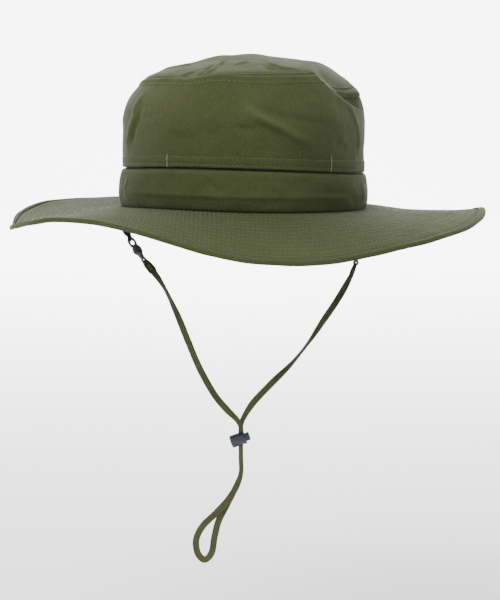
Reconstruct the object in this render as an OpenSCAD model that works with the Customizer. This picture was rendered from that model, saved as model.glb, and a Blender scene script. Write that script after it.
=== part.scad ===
// Boonie hat: a flat-topped cloth crown, a wide quilted brim and a hook-on chin strap with a cord lock.
// Millimetres. +Z is up, -Y is the front, +X is the wearer's left, and the origin is the centre of
// the head opening, level with the lowest part of the seam between crown and brim, at the left side.

/* [Crown] */
// Half width of the crown at the brim seam
seam_half_w = 87; // [82:0.5:92]
// How much longer the crown is than wide, front and back each
extra_half_len = 17.6; // [12:0.2:22]
// Half width of the upper side panel
side_half_w = 84.9; // [80:0.1:88]
// Half width of the tip at its seam
tip_half_w = 69; // [62:0.5:74]
// Height of the tip seam above the brim seam
crown_h = 97; // [92:0.5:104]
// Rise of the tip from its seam to its middle
tip_dome = 11; // [4:0.5:16]
// Height of the hem's lower edge at the back
hem_z = 27; // [24:0.5:30]
// How much higher the hem is at the front
hem_front_rise = 3.7; // [0:0.1:5]
// How much the hem climbs from the wearer's left side to the right
hem_side_tilt = 1.2; // [0:0.1:2]
// Depth of the folded hem
hem_depth = 19; // [14:0.5:22]
// Mean height of the seam between crown and brim
seam_lift = 3.8; // [2.5:0.1:6]

/* [Brim] */
// Cut width of the brim from the crown seam to its edge
brim_w = 82; // [70:0.5:90]
// Mean drop of the brim's edge below the seam
brim_drop = 6.2; // [4:0.2:12]
// Width of the binding round the edge
binding_w = 4; // [3:0.5:6]

/* [Cloth] */
// Thickness of one cloth layer with its lining
cloth_t = 1.2; // [0.8:0.1:1.4]
// Thickness of each of the brim's three layers
layer_t = 0.6; // [0.5:0.1:0.9]

/* [Chin strap] */
// Width of the tape
tape_w = 5; // [4:0.5:6]
// Thickness of the tape
tape_t = 1.2; // [0.8:0.1:1.3]
// Half the distance between the two strap rings
ring_x = 80.5; // [78:0.5:83]
// Height of the line that the strap swings about
swing_z = -20.9; // [-23:0.1:-19]

/* [Cord lock] */
// Radius of the lock's barrel
lock_r = 4.6; // [4.4:0.1:5.5]
// Tilt of the barrel, upwards to the right
lock_tilt = 20; // [0:1:25]

/* [Hidden] */

// Colours
olive = [0.29, 0.32, 0.18];
olive_light = [0.36, 0.39, 0.24];
olive_tape = [0.27, 0.28, 0.13];
thread_pale = [0.55, 0.58, 0.3];
black_webbing = [0.05, 0.05, 0.055];
black_plastic = [0.07, 0.08, 0.11];
steel = [0.7, 0.7, 0.72];

// Angles are measured from +X towards +Y, the back
ring_steps = 72;
step_deg = 360 / ring_steps;
all_round = [for (i = [0 : ring_steps - 1]) i * step_deg];
front_half = [for (i = [0 : ring_steps / 2]) 180 + i * step_deg];
rear_half = [for (i = [0 : ring_steps / 2]) i * step_deg];

// Gap between two layers of one body
layer_gap = 0.1;
// The two halves of a ring stop this much short of their side seams
side_seam_deg = 0.15;

// Outline of the crown ------------------------------------------------------------------------

shoulder_z = 60;
shoulder_power = 1.8;

// Height of the seam at angle a: it is highest at the front right
function seam_rise(a) =
    seam_lift + 1.7 * cos(a + 124) + 2.1 * cos(2 * (a - 84)) + 0.9 * cos(3 * (a + 27));

// Half width of the upper side panel at height z
function side_r(z) =
    let (t = max(0, (z - shoulder_z) / (crown_h - shoulder_z)))
    tip_half_w + (side_half_w - tip_half_w) * (1 - pow(t, shoulder_power));

// How far the hem line is raised at angle a, and the part of it that a point at height z follows
function hem_rise(a) = hem_front_rise * pow(max(0, -sin(a)), 2) - hem_side_tilt * cos(a);
function hem_share(z) = z < hem_z ? pow(max(0, z) / hem_z, 2) : (crown_h - z) / (crown_h - hem_z);

// A point on the crown at angle a, half width r and height z above the seam
function crown_point(a, r, z) = [
    r * cos(a),
    (r + extra_half_len) * sin(a),
    z + seam_rise(a) * (1 - z / crown_h) + hem_rise(a) * hem_share(z)
];

// Outline of the brim --------------------------------------------------------------------------

// Waves of the edge: the height of each and the direction of its crest
brim_waves = [[1.8, 165], [3, 11], [6.3, -7], [3, -32], [1.6, 13], [0.6, 2], [0.5, -4]];
brim_curve = 1.25;
// The brim's layers start inside the crown seam by the seam allowance
seam_allowance = 2.2;
brim_start = -seam_allowance / brim_w;

function edge_rise(a, i = 0) =
    i < len(brim_waves)
    ? brim_waves[i][0] * cos((i + 1) * (a - brim_waves[i][1])) + edge_rise(a, i + 1)
    : -brim_drop;

// A point on the brim: u is 0 at the seam and 1 at the edge, dz lifts it
function brim_point(a, u, dz) =
    let (
        half_len = seam_half_w + extra_half_len,
        n = [cos(a) / seam_half_w, sin(a) / half_len],
        out = n / norm(n),
        drop = edge_rise(a) - seam_rise(a),
        reach = sqrt(brim_w * brim_w - drop * drop) * u
    )
    [
        seam_half_w * cos(a) + out[0] * reach,
        half_len * sin(a) + out[1] * reach,
        seam_rise(a) + drop * pow(max(0, u), brim_curve) + dz
    ];

// Building blocks ------------------------------------------------------------------------------

// Solid swept through a row of section outlines, closed into a ring or capped at both ends.
// An outline runs up one face and back down the other, with as many points on each. The two faces
// are split along the same diagonals, so that neighbouring layers stay parallel.
module swept(sections, closed) {
    n = len(sections);
    m = len(sections[0]);
    last = closed ? n - 1 : n - 2;
    sides = [
        for (i = [0 : last], j = [0 : m - 1])
            let (i2 = (i + 1) % n, j2 = (j + 1) % m)
            let (quad = [i * m + j, i * m + j2, i2 * m + j2, i2 * m + j])
            each (
                j < m / 2
                ? [[quad[0], quad[1], quad[2]], [quad[0], quad[2], quad[3]]]
                : [[quad[0], quad[1], quad[3]], [quad[1], quad[2], quad[3]]]
            )
    ];
    end = (n - 1) * m;
    caps = closed ? [] : [
        for (j = [0 : m / 2 - 2])
            let (quad = [j, j + 1, m - 2 - j, m - 1 - j])
            each [[for (k = [3 : -1 : 0]) quad[k]], [for (v = quad) end + v]]
    ];
    polyhedron(points = [for (s = sections) each s], faces = concat(sides, caps), convexity = 8);
}

// The angles of one half, drawn in a little at its side seams
function half_angles(half) = [
    for (i = [0 : len(half) - 1])
        half[i] + (i == 0 ? side_seam_deg : i == len(half) - 1 ? -side_seam_deg : 0)
];

// Crown ring from an outline of [half width, height] points
module crown_ring(outline, angles, closed) {
    swept([for (a = angles) [for (p = outline) crown_point(a, p[0], p[1])]], closed);
}

// Crown ------------------------------------------------------------------------------------------

tip_rings = [1, 0.93, 0.8, 0.6, 0.35];
tip_t = 1;

function tip_rise(rho) = tip_dome * pow(1 - rho * rho, 0.8);

function tip_point(a, rho, dz) = [
    tip_half_w * rho * cos(a),
    (tip_half_w + extra_half_len) * rho * sin(a),
    crown_h + layer_gap + tip_rise(rho) + dz
];

module crown_tip() {
    n = ring_steps;
    m = len(tip_rings);
    points = concat(
        [for (rho = tip_rings, a = all_round) tip_point(a, rho, tip_t)],
        [for (rho = tip_rings, a = all_round) tip_point(a, rho, 0)],
        [tip_point(0, 0, tip_t), tip_point(0, 0, 0)]
    );
    upper = [
        for (k = [0 : m - 2], i = [0 : n - 1])
            let (i2 = (i + 1) % n)
            each [[k * n + i, k * n + n + i, k * n + n + i2], [k * n + i, k * n + n + i2, k * n + i2]]
    ];
    lower = [for (f = upper) [for (v = [2, 1, 0]) f[v] + m * n]];
    top_fan = [for (i = [0 : n - 1]) [(m - 1) * n + i, 2 * m * n, (m - 1) * n + (i + 1) % n]];
    bottom_fan = [
        for (i = [0 : n - 1])
            [(2 * m - 1) * n + (i + 1) % n, 2 * m * n + 1, (2 * m - 1) * n + i]
    ];
    rim = [
        for (i = [0 : n - 1])
            let (i2 = (i + 1) % n)
            each [[i, i2, m * n + i2], [i, m * n + i2, m * n + i]]
    ];
    color(olive_light)
        polyhedron(points, concat(upper, lower, top_fan, bottom_fan, rim), convexity = 6);
}

// Tape that covers the raw edges of the tip seam inside the crown
module tip_seam_tape() {
    tape_clear = cloth_t + 0.3;
    levels = [90.5, 93, 95.5];
    outer = [for (z = levels) [side_r(z) - tape_clear, z]];
    inner = [for (i = [len(levels) - 1 : -1 : 0]) outer[i] - [0.9, 0]];
    color(olive) crown_ring(concat(outer, inner), all_round, true);
}

// Upper side panel with its folded hem at the bottom
module crown_side(half) {
    hem_t = 2.2;
    hem_top = hem_z + hem_depth;
    above = [hem_top + 2, 60, 68, 76, 83, 89, 93.5, crown_h];
    outer = [for (z = concat([hem_z, hem_z + 9], above)) [side_r(z), z]];
    panel_back = [for (i = [len(above) - 1 : -1 : 0]) [side_r(above[i]) - cloth_t, above[i]]];
    hem_back = [[side_half_w - hem_t, hem_top], [side_half_w - hem_t, hem_z]];
    color(olive) crown_ring(concat(outer, panel_back, hem_back), half_angles(half), false);
}

module crown_side_front() { crown_side(front_half); }
module crown_side_rear() { crown_side(rear_half); }

// Lower band: it swells out below the hem and runs up behind it
band_outline = [[87.2, 0], [87.2, 10], [86.4, 18], [84.8, 23], [82.4, 26], [82.2, 36]];

module crown_band(half) {
    count = len(band_outline);
    back = [for (i = [count - 1 : -1 : 0]) band_outline[i] - [cloth_t + 0.2, 0]];
    color(olive) crown_ring(concat(band_outline, back), half_angles(half), false);
}

module crown_band_front() { crown_band(front_half); }
module crown_band_rear() { crown_band(rear_half); }

// Ventilation mesh that joins the band to the upper panel behind the hem
module vent_mesh(half) {
    mesh_r = 80.5;
    mesh_t = 0.6;
    outline = [[mesh_r, 33], [mesh_r, 50], [mesh_r - mesh_t, 50], [mesh_r - mesh_t, 33]];
    color("darkolivegreen") crown_ring(outline, half_angles(half), false);
}

module vent_mesh_front() { vent_mesh(front_half); }
module vent_mesh_rear() { vent_mesh(rear_half); }

// Four bars of close stitching that hold the hem down
module bartacks() {
    bar_w = 0.9;
    bar_t = 0.6;
    bar_h = 9.5;
    directions = [233, 314, 52, 128];
    color(thread_pale)
        for (a = directions) {
            foot = crown_point(a, side_half_w, hem_z + 0.6);
            facing = atan2(sin(a) / (side_half_w + extra_half_len), cos(a) / side_half_w);
            translate(foot) rotate([0, 0, facing]) translate([0.15, -bar_w / 2, 0]) cube([bar_t, bar_w, bar_h]);
        }
}

// Sweatband inside the lower band
module sweatband() {
    outer_r = 85.4;
    upper_r = 80.6;
    outline = [
        [outer_r, 0], [outer_r, 10], [outer_r - 1, 18], [upper_r, 26], [upper_r, 31],
        [upper_r - 1, 31], [upper_r - 1, 26], [outer_r - 2, 18], [outer_r - 1, 10], [outer_r - 1, 0]
    ];
    color("darkolivegreen") crown_ring(outline, all_round, true);
}

// Brim ---------------------------------------------------------------------------------------------

brim_stops = [0, 0.2, 0.4, 0.6, 0.8, 1];
layer_pitch = layer_t + layer_gap;

// One of the brim's layers; level 0 is the upper cloth
module brim_layer(level) {
    top = -layer_gap - level * layer_pitch;
    us = concat([brim_start], [for (i = [1 : len(brim_stops) - 1]) brim_stops[i]]);
    swept([
        for (a = all_round) concat(
            [for (i = [len(us) - 1 : -1 : 0]) brim_point(a, us[i], top)],
            [for (u = us) brim_point(a, u, top - layer_t)]
        )
    ], true);
}

module brim_top() { color(olive_light) brim_layer(0); }
module brim_interlining() { color("tan") brim_layer(1); }
module brim_under() { color(olive) brim_layer(2); }

// Folded tape round the edge of the brim
module brim_binding() {
    wall = 0.7;
    inner = 1 - binding_w / brim_w;
    lip = 1 + 0.15 / brim_w;
    outer = 1 + 0.9 / brim_w;
    below = -3 * layer_pitch - 2 * layer_gap;
    color(olive)
        swept([
            for (a = all_round) [
                brim_point(a, inner, 0.05), brim_point(a, lip, 0.05),
                brim_point(a, lip, below), brim_point(a, inner, below),
                brim_point(a, inner, below - wall), brim_point(a, outer, below - wall),
                brim_point(a, outer, wall), brim_point(a, inner, wall)
            ]
        ], true);
}

// Strap fittings -------------------------------------------------------------------------------------

ring_r = 3;
ring_wire = 0.8;
eye_r = 2.4;
eye_wire = 0.8;
tab_t = 1.6;
tab_loop_hole = 1.3;
tab_loop_r = 2.05;
tab_clear = 0.3;

// Webbing tab: it narrows to a loop that the hook's ring hangs in. side is 1 at +X, the wearer's left
module strap_tab(side) {
    loop_w = 2.2;
    top_in = 82;
    top_out = 88;
    x_in = ring_x - loop_w / 2;
    x_out = ring_x + loop_w / 2;
    top_z = seam_rise(side > 0 ? 0 : 180) - 3 * layer_pitch - tab_clear;
    color(black_webbing)
        difference() {
            union() {
                rotate([90, 0, 0])
                    linear_extrude(height = tab_t, center = true)
                        polygon([
                            [side * x_in, swing_z + tab_loop_hole], [side * x_out, swing_z + tab_loop_hole],
                            [side * (top_out - 1.5), -13], [side * top_out, top_z],
                            [side * top_in, top_z], [side * (top_in - 2.5), -13]
                        ]);
                translate([side * ring_x, 0, swing_z])
                    rotate([0, 90, 0])
                        cylinder(h = loop_w, r = tab_loop_r, center = true, $fn = 48);
            }
            translate([side * ring_x, 0, swing_z])
                rotate([0, 90, 0])
                    cylinder(h = 12, r = tab_loop_hole, center = true, $fn = 48);
        }
}

module strap_tab_left() { strap_tab(1); }
module strap_tab_right() { strap_tab(-1); }

module torus(big_r, wire_r) {
    rotate([90, 0, 0])
        rotate_extrude($fn = 64)
            translate([big_r, 0])
                circle(r = wire_r, $fn = 32);
}

// Moulded hook: a ring above, a tapered shank and an eye for the tape below
module strap_hook(side, end) {
    top = [side * ring_x, 0, swing_z - ring_r];
    run = end - top;
    lean = atan2(run[0], -run[2]);
    shank_len = norm(run) - ring_r - eye_r;
    color(black_plastic)
        union() {
            translate(top) torus(ring_r, ring_wire);
            translate(top)
                rotate([0, 180 - lean, 0])
                    translate([0, 0, ring_r])
                        cylinder(h = shank_len, r1 = 1.7, r2 = 1, $fn = 32);
            translate(end) torus(eye_r, eye_wire);
        }
}

hook_end_right = [-70.5, 0, -36];
hook_end_left = [79.3, 0, -38];

module strap_hook_left() { strap_hook(1, hook_end_left); }
module strap_hook_right() { strap_hook(-1, hook_end_right); }

// Chin strap ---------------------------------------------------------------------------------------------

// Route of the tape from the right eye, through the lock, round the tail loop and up to the left eye.
// The fourth value is the tape's width as a part of its full width, because it bunches in the lock.
strap_route = [
    [-69, 0, -38, 0.6], [-64, 0, -44, 1], [-56, 0, -56, 1], [-47, 0, -75, 1], [-39, 0, -95, 1],
    [-31, 0, -114, 1], [-21, 0, -132, 1], [-12, -0.4, -143, 1], [-5, -0.8, -150, 0.8],
    [-2, -0.8, -156, 0.7], [-2, -0.8, -166, 0.7], [-2, -0.8, -178, 0.7], [-2, -0.8, -189, 0.7],
    [-5, -0.9, -198, 0.9], [-11, -1, -208, 1], [-20, -0.8, -218, 1], [-29, -0.4, -227, 1],
    [-34, 0, -237, 1], [-33, 0, -247, 1], [-28, 0, -252, 1], [-23, 0, -247, 1],
    [-21, 0.4, -236, 1], [-18, 0.8, -224, 1], [-12, 1, -212, 1], [-6, 0.9, -200, 0.9],
    [-2, 0.8, -189, 0.7], [-2, 0.8, -178, 0.7], [-2, 0.8, -166, 0.7], [-2, 0.8, -156, 0.7],
    [0, 0.8, -149, 0.8], [7, 0.4, -138, 1], [20, 0, -124, 1], [34, 0, -110, 1], [46, 0, -95, 1],
    [56, 0, -80, 1], [66, 0, -65, 1], [74, 0, -51, 1], [78.5, 0, -40.5, 0.6]
];
route_last = len(strap_route) - 1;

// Route point at position s, on a smooth curve through all the points
function along(s) =
    let (
        i = min(floor(s), route_last - 1),
        t = s - i,
        p0 = strap_route[max(i - 1, 0)],
        p1 = strap_route[i],
        p2 = strap_route[i + 1],
        p3 = strap_route[min(i + 2, route_last)]
    )
    0.5 * (2 * p1 + (p2 - p0) * t + (2 * p0 - 5 * p1 + 4 * p2 - p3) * t * t
        + (3 * p1 - p0 - 3 * p2 + p3) * t * t * t);

function xyz(p) = [p[0], p[1], p[2]];

// Outline of the flat tape, in parts of its width and thickness
tape_outline = [
    [0.5, 0.25], [0.4, 0.5], [-0.4, 0.5], [-0.5, 0.25],
    [-0.5, -0.25], [-0.4, -0.5], [0.4, -0.5], [0.5, -0.25]
];

// Section of the tape at position s, flat to the front
function tape_section(s) =
    let (
        p = along(s),
        ahead = xyz(along(min(s + 0.05, route_last)) - along(max(s - 0.05, 0))),
        dir = ahead / norm(ahead),
        across_raw = cross([0, 1, 0], dir),
        across = across_raw / norm(across_raw),
        through = cross(dir, across)
    )
    [
        for (q = tape_outline)
            xyz(p) + across * q[0] * tape_w * p[3] + through * q[1] * tape_t
    ];

module chin_strap() {
    ring_every = 0.5;
    color(olive_tape)
        swept([for (s = [0 : ring_every : route_last]) tape_section(s)], false);
}

// Cord lock --------------------------------------------------------------------------------------------------

lock_pos = [-2, 0, -164];
// Along the barrel, from its closed end to its mouth, measured from the tape
barrel_end = -7.6;
barrel_mouth = 3.6;
barrel_wall = 1;
bore_r = 3.3;
plunger_r = 3.15;
plunger_end = -3.4;
button_end = 6.6;
press_travel = 2;
slot_half_w = 2.1;
slot_half_t = 1.8;

module at_lock() {
    translate(lock_pos) children();
}

// Turns a shape made along Z so that it lies along the barrel
module along_barrel() {
    rotate([0, 90 - lock_tilt, 0]) children();
}

module cord_lock_body() {
    chamfer = 1.4;
    color(black_plastic)
        at_lock()
            difference() {
                along_barrel()
                    rotate_extrude($fn = 64)
                        polygon([
                            [0, barrel_end], [lock_r - chamfer, barrel_end], [lock_r, barrel_end + chamfer],
                            [lock_r, barrel_mouth - 0.5], [lock_r - 0.5, barrel_mouth], [0, barrel_mouth]
                        ]);
                along_barrel()
                    translate([0, 0, barrel_end + barrel_wall])
                        cylinder(h = 20, r = bore_r, $fn = 64);
                translate([-slot_half_w, -slot_half_t, -15])
                    cube([2 * slot_half_w, 2 * slot_half_t, 30]);
            }
}

module cord_lock_plunger() {
    chamfer = 0.6;
    color(black_plastic)
        at_lock()
            difference() {
                along_barrel()
                    rotate_extrude($fn = 64)
                        polygon([
                            [0, plunger_end], [plunger_r, plunger_end], [plunger_r, button_end - chamfer],
                            [plunger_r - chamfer, button_end], [0, button_end]
                        ]);
                translate([-slot_half_w, -slot_half_t, -15])
                    cube([2 * slot_half_w + press_travel, 2 * slot_half_t, 30]);
            }
}

// Compression spring between the closed end of the barrel and the plunger
module cord_lock_spring() {
    wire_r = 0.3;
    coil_r = 2;
    turns = 3;
    sides = 6;
    rings_per_turn = 12;
    from = barrel_end + barrel_wall + wire_r + 0.05;
    to = plunger_end - wire_r - 0.05;
    color(steel)
        at_lock()
            along_barrel()
                swept([
                    for (i = [0 : turns * rings_per_turn])
                        let (
                            a = i * 360 / rings_per_turn,
                            z = from + (to - from) * i / (turns * rings_per_turn)
                        )
                        [
                            for (k = [0 : sides - 1])
                                let (b = -k * 360 / sides, r = coil_r + wire_r * cos(b))
                                [r * cos(a), r * sin(a), z + wire_r * sin(b)]
                        ]
                ], false);
}

crown_tip();
tip_seam_tape();
crown_side_front();
crown_side_rear();
crown_band_front();
crown_band_rear();
vent_mesh_front();
vent_mesh_rear();
bartacks();
sweatband();
brim_top();
brim_interlining();
brim_under();
brim_binding();
strap_tab_left();
strap_tab_right();
strap_hook_left();
strap_hook_right();
chin_strap();
cord_lock_body();
cord_lock_plunger();
cord_lock_spring();
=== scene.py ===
"""Boonie hat: cloth crown and quilted brim, hook-on chin strap and cord lock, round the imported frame."""

import math

import bmesh
import bpy
from mathutils import Matrix, Vector, noise


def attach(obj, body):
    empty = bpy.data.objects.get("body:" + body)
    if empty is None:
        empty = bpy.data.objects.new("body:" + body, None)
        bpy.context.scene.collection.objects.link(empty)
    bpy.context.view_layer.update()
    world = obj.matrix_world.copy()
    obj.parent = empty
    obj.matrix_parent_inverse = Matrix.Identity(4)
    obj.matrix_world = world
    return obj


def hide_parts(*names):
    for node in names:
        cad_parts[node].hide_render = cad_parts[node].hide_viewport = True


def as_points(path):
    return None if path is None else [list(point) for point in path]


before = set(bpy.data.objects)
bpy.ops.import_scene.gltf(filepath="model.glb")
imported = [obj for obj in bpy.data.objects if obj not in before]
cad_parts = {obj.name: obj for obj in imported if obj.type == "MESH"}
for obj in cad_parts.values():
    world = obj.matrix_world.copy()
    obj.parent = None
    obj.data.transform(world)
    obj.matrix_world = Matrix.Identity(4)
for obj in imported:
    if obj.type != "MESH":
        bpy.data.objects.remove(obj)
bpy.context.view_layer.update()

bl_info = {
    "name": "Boonie Hat Maker",
    "version": (1, 0, 0),
    "blender": (4, 5, 0),
    "location": "View3D > Sidebar > Hat",
    "description": "Makes a stitched cloth boonie hat with its chin strap and cord lock",
    "category": "Object",
}

MM = 0.001
TURN = 2 * math.pi


# --------------------------------------------------------------------------------------------------
# Sizes and colours that a user would change
# --------------------------------------------------------------------------------------------------


def length_prop(name, description, default):
    """A length in metres, shown in the scene's unit."""
    return bpy.props.FloatProperty(
        name=name, description=description, default=default, unit="LENGTH", precision=5
    )


def colour_prop(name, description, default):
    """A linear colour."""
    return bpy.props.FloatVectorProperty(
        name=name, description=description, default=default, subtype="COLOR", min=0, max=1
    )


class CrownSizes(bpy.types.PropertyGroup):
    """Sizes of the crown."""

    seam_half_w: length_prop("Seam half width", "Half width of the crown at the brim seam", 0.087)
    extra_half_len: length_prop("Extra half length", "How much longer than wide, each end", 0.0176)
    side_half_w: length_prop("Side half width", "Half width of the upper side panel", 0.0849)
    tip_half_w: length_prop("Tip half width", "Half width of the tip at its seam", 0.069)
    crown_h: length_prop("Crown height", "Height of the tip seam above the brim seam", 0.097)
    tip_dome: length_prop("Tip dome", "Rise of the tip from its seam to its middle", 0.011)
    hem_z: length_prop("Hem height", "Height of the hem's lower edge at the back", 0.027)
    hem_front_rise: length_prop("Hem front rise", "How much higher the hem is in front", 0.0037)
    hem_side_tilt: length_prop("Hem side tilt", "How much the hem climbs to the right side", 0.0012)
    seam_lift: length_prop("Seam lift", "Mean height of the seam between crown and brim", 0.0038)
    cloth_t: length_prop("Cloth thickness", "Thickness of one lined cloth layer", 0.0009)


class BrimSizes(bpy.types.PropertyGroup):
    """Sizes of the brim."""

    width: length_prop("Width", "Cut width of the brim from seam to edge", 0.082)
    drop: length_prop("Mean drop", "Mean drop of the edge below the seam", 0.0062)
    layer_t: length_prop("Layer", "Thickness of one of the three layers", 0.0006)
    binding_w: length_prop("Binding", "Width of the binding round the edge", 0.0042)
    row_pitch: length_prop("Row pitch", "Distance between two stitch rows", 0.0059)
    stitch: length_prop("Stitch", "Length of one stitch with its gap", 0.0031)


class StrapSizes(bpy.types.PropertyGroup):
    """Sizes of the chin strap."""

    tape_w: length_prop("Tape width", "Width of the flat tape", 0.005)
    tape_t: length_prop("Tape thickness", "Thickness of the flat tape", 0.0011)
    ring_x: length_prop("Ring distance", "Half the distance between the strap rings", 0.0805)
    swing_z: length_prop("Swing height", "Height of the line that the strap swings about", -0.0209)


class HatColours(bpy.types.PropertyGroup):
    """Colours of the cloths, the tapes and the plastic."""

    olive: colour_prop("Olive cloth", "Upper cloth of crown and brim", (0.0375, 0.045, 0.0160))
    # The olive shade colour is also the base of the cloth's painted shade between threads and in seams and
    # crevices.
    olive_deep: colour_prop("Olive shade", "Darker threads of the cloth", (0.028, 0.035, 0.0108))
    lining: colour_prop("Lining", "Sweatband and tapes inside", (0.06, 0.07, 0.035))
    bartack: colour_prop("Bartack", "Pale thread of the bartacks", (0.16, 0.19, 0.055))
    tape: colour_prop("Tape", "Olive chin tape", (0.046, 0.051, 0.0165))
    webbing: colour_prop("Webbing", "Black webbing tabs", (0.008, 0.008, 0.009))
    plastic: colour_prop("Plastic", "Black moulded fittings", (0.004, 0.0045, 0.005))
    lock: colour_prop("Lock", "Cord lock, a very dark blue", (0.012, 0.015, 0.028))


class StageSizes(bpy.types.PropertyGroup):
    """Where the camera and the floor are."""

    camera_distance: length_prop("Camera distance", "From the hat's middle plane", 1.8)
    camera_height: length_prop("Camera height", "Above the brim seam", 0.15)
    aim_x: length_prop("Aim sideways", "Middle of the view, to the side", 0.0045)
    aim_z: length_prop("Aim height", "Middle of the view, above the brim seam", -0.0645)
    view_h: length_prop("View height", "Height of the view at the hat", 0.425)
    floor_z: length_prop("Floor height", "Height of the floor under the hat", -0.33)


# --------------------------------------------------------------------------------------------------
# Small maths
# --------------------------------------------------------------------------------------------------


def smooth(x):
    """0 below 0, 1 above 1, and smooth between."""
    x = min(1.0, max(0.0, x))
    return x * x * (3 - 2 * x)


def bell(x):
    """Bell of height 1 at 0 and about a third at 1."""
    return math.exp(-x * x)


def groove(distance, width, depth):
    """Depth of a pressed-in stitch line at that distance from it."""
    return -depth * bell(distance / width)


def soft_noise(x, y, seed, size):
    """Even noise of about plus or minus 1, with bumps of that size."""
    return 1.8 * noise.noise(Vector((x / size, y / size, seed * 7.31)))


def ring_noise(a, z, seed, size):
    """The same for a place on a ring of the crown's mean size, at angle a and height z."""
    place = Vector((0.093 * math.cos(a), 0.093 * math.sin(a), z))
    return 1.8 * noise.noise(place / size + Vector((seed * 3.7, 0, seed * 7.31)))


def around(degrees, centre):
    """Signed angle in degrees from centre, the short way."""
    return (degrees - centre + 180) % 360 - 180


def fold_height(u, v, folds, metres_per_degree):
    """Sum of the folds at angle u in degrees and height v. Each is (height, width, a place, a place, ...)."""
    total = 0.0
    for height, width, *places in folds:
        reach = 2.6 * width
        if not min(q[1] for q in places) - reach < v < max(q[1] for q in places) + reach:
            continue
        best = reach
        along = 0.5
        count = len(places) - 1
        for i in range(count):
            u0, v0 = places[i]
            u1, v1 = places[i + 1]
            px = around(u, u0) * metres_per_degree
            py = v - v0
            dx = (u1 - u0) * metres_per_degree
            dy = v1 - v0
            t = min(1.0, max(0.0, (px * dx + py * dy) / (dx * dx + dy * dy)))
            off = math.hypot(px - t * dx, py - t * dy)
            if off < best:
                best = off
                along = (i + t) / count
        if best < reach:
            ends = smooth(3.2 * along + 0.25) * smooth(3.2 * (1 - along) + 0.25)
            total += height * bell(best / width) * ends
    return total


# --------------------------------------------------------------------------------------------------
# Shape of the hat, as the frame has it, with the lie of the cloth added
# --------------------------------------------------------------------------------------------------

SHOULDER_Z = 0.06
SHOULDER_POWER = 1.8
TIP_POWER = 0.8

# Waves of the brim's edge: height in metres and direction of the crest in degrees
BRIM_WAVES = ((0.0018, 165), (0.003, 11), (0.0063, -7), (0.003, -32), (0.0016, 13), (0.0006, 2), (0.0005, -4))
BRIM_CURVE = 1.25

# Waves of the seam between crown and brim, in the same way
SEAM_WAVES = ((0.0017, -124), (0.0021, 84), (0.0009, -27))
SEAM_ALLOWANCE = 0.0022

# Folds of the upper side panel: height, half width, then the places (angle, height) that it runs through
SIDE_FOLDS = (
    (0.0023, 0.0040, (269.5, 0.0765), (278.5, 0.0662), (286, 0.0597), (292.5, 0.0535), (301, 0.0475)),
    (-0.0014, 0.0028, (273, 0.0745), (281, 0.0704), (289, 0.0666), (299, 0.0640), (315, 0.0600)),
    (-0.0012, 0.0026, (275, 0.0623), (283, 0.0560), (289, 0.0532), (295, 0.0478), (300, 0.0440)),
    (-0.0010, 0.0022, (266, 0.0588), (276, 0.0556)),
    (-0.0007, 0.0020, (296, 0.0812), (302.5, 0.0742)),
    (0.0006, 0.0022, (299, 0.0775), (310, 0.0785)),
    (0.0015, 0.0036, (209.5, 0.0660), (203.5, 0.0552), (198.5, 0.0410)),
    (-0.0010, 0.0030, (214, 0.0700), (209, 0.0560), (205, 0.0450)),
    (0.0011, 0.0040, (209, 0.0820), (206, 0.0660)),
    (0.0012, 0.0036, (332, 0.0740), (338, 0.0579), (340, 0.0400)),
    (-0.0006, 0.0022, (209.5, 0.0610), (231, 0.0680)),
    (-0.0005, 0.0020, (234.5, 0.0497), (250, 0.0488)),
    (-0.0005, 0.0022, (250, 0.0900), (262, 0.0840), (270, 0.0790)),
    (0.0005, 0.0026, (228, 0.0600), (246, 0.0560)),
    (-0.0009, 0.0028, (316, 0.0480), (326, 0.0450)),
    (0.0014, 0.0040, (30, 0.078), (52, 0.062)),
    (-0.0012, 0.0034, (44, 0.066), (62, 0.050)),
    (0.0013, 0.0036, (84, 0.074), (96, 0.070), (108, 0.060)),
    (-0.0011, 0.0030, (90, 0.064), (118, 0.054)),
    (0.0012, 0.0045, (128, 0.080), (140, 0.052)),
    (-0.0010, 0.0040, (152, 0.070), (158, 0.044)),
    (0.0009, 0.0040, (168, 0.082), (172, 0.050)),
)

# Folds of the tip, in the same way: angle and part of the way from the middle to the seam
TIP_FOLDS = (
    (0.0016, 0.022, (246, 0.98), (248.5, 0.80), (245, 0.50), (238, 0.30)),
    (-0.0012, 0.020, (242, 0.98), (243, 0.80), (236, 0.55)),
    (0.0014, 0.022, (300, 0.32), (292, 0.74), (296.5, 0.87), (308, 0.91)),
    (-0.0010, 0.022, (288, 0.50), (285, 0.80), (292, 0.93)),
    (0.0008, 0.020, (230, 0.97), (234, 0.79)),
    (0.0009, 0.030, (262, 0.62), (276, 0.52)),
    (0.0012, 0.040, (70, 0.92), (84, 0.5)),
    (-0.0010, 0.040, (118, 0.93), (130, 0.55)),
    (0.0011, 0.045, (160, 0.92), (172, 0.5)),
    (-0.0011, 0.040, (20, 0.9), (40, 0.55)),
)

# Places where the tip seam is pulled up or sags: angle, height, half width in degrees
SEAM_BUMPS = ((258, 0.0014, 10), (236, -0.0006, 4), (140, 0.0012, 12), (60, -0.0012, 10))

# Beyond this plane the crown's front shoulder on the wearer's left is pushed in below a sharp ridge
DENT_NORMAL = Vector((0.703, -0.109, 0.702)).normalized()
DENT_OFFSET = 0.1085
DENT_SHIFT = Vector((1.0, 0.0, -1.22))
DENT_SOFT = 0.0006
DENT_HOLLOW = 0.0044

# How far the shoulder on the wearer's right sags
SAG = 0.0046

FELL_H = 0.0053
HEM_LINES = (0.0027, 0.0083)


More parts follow.
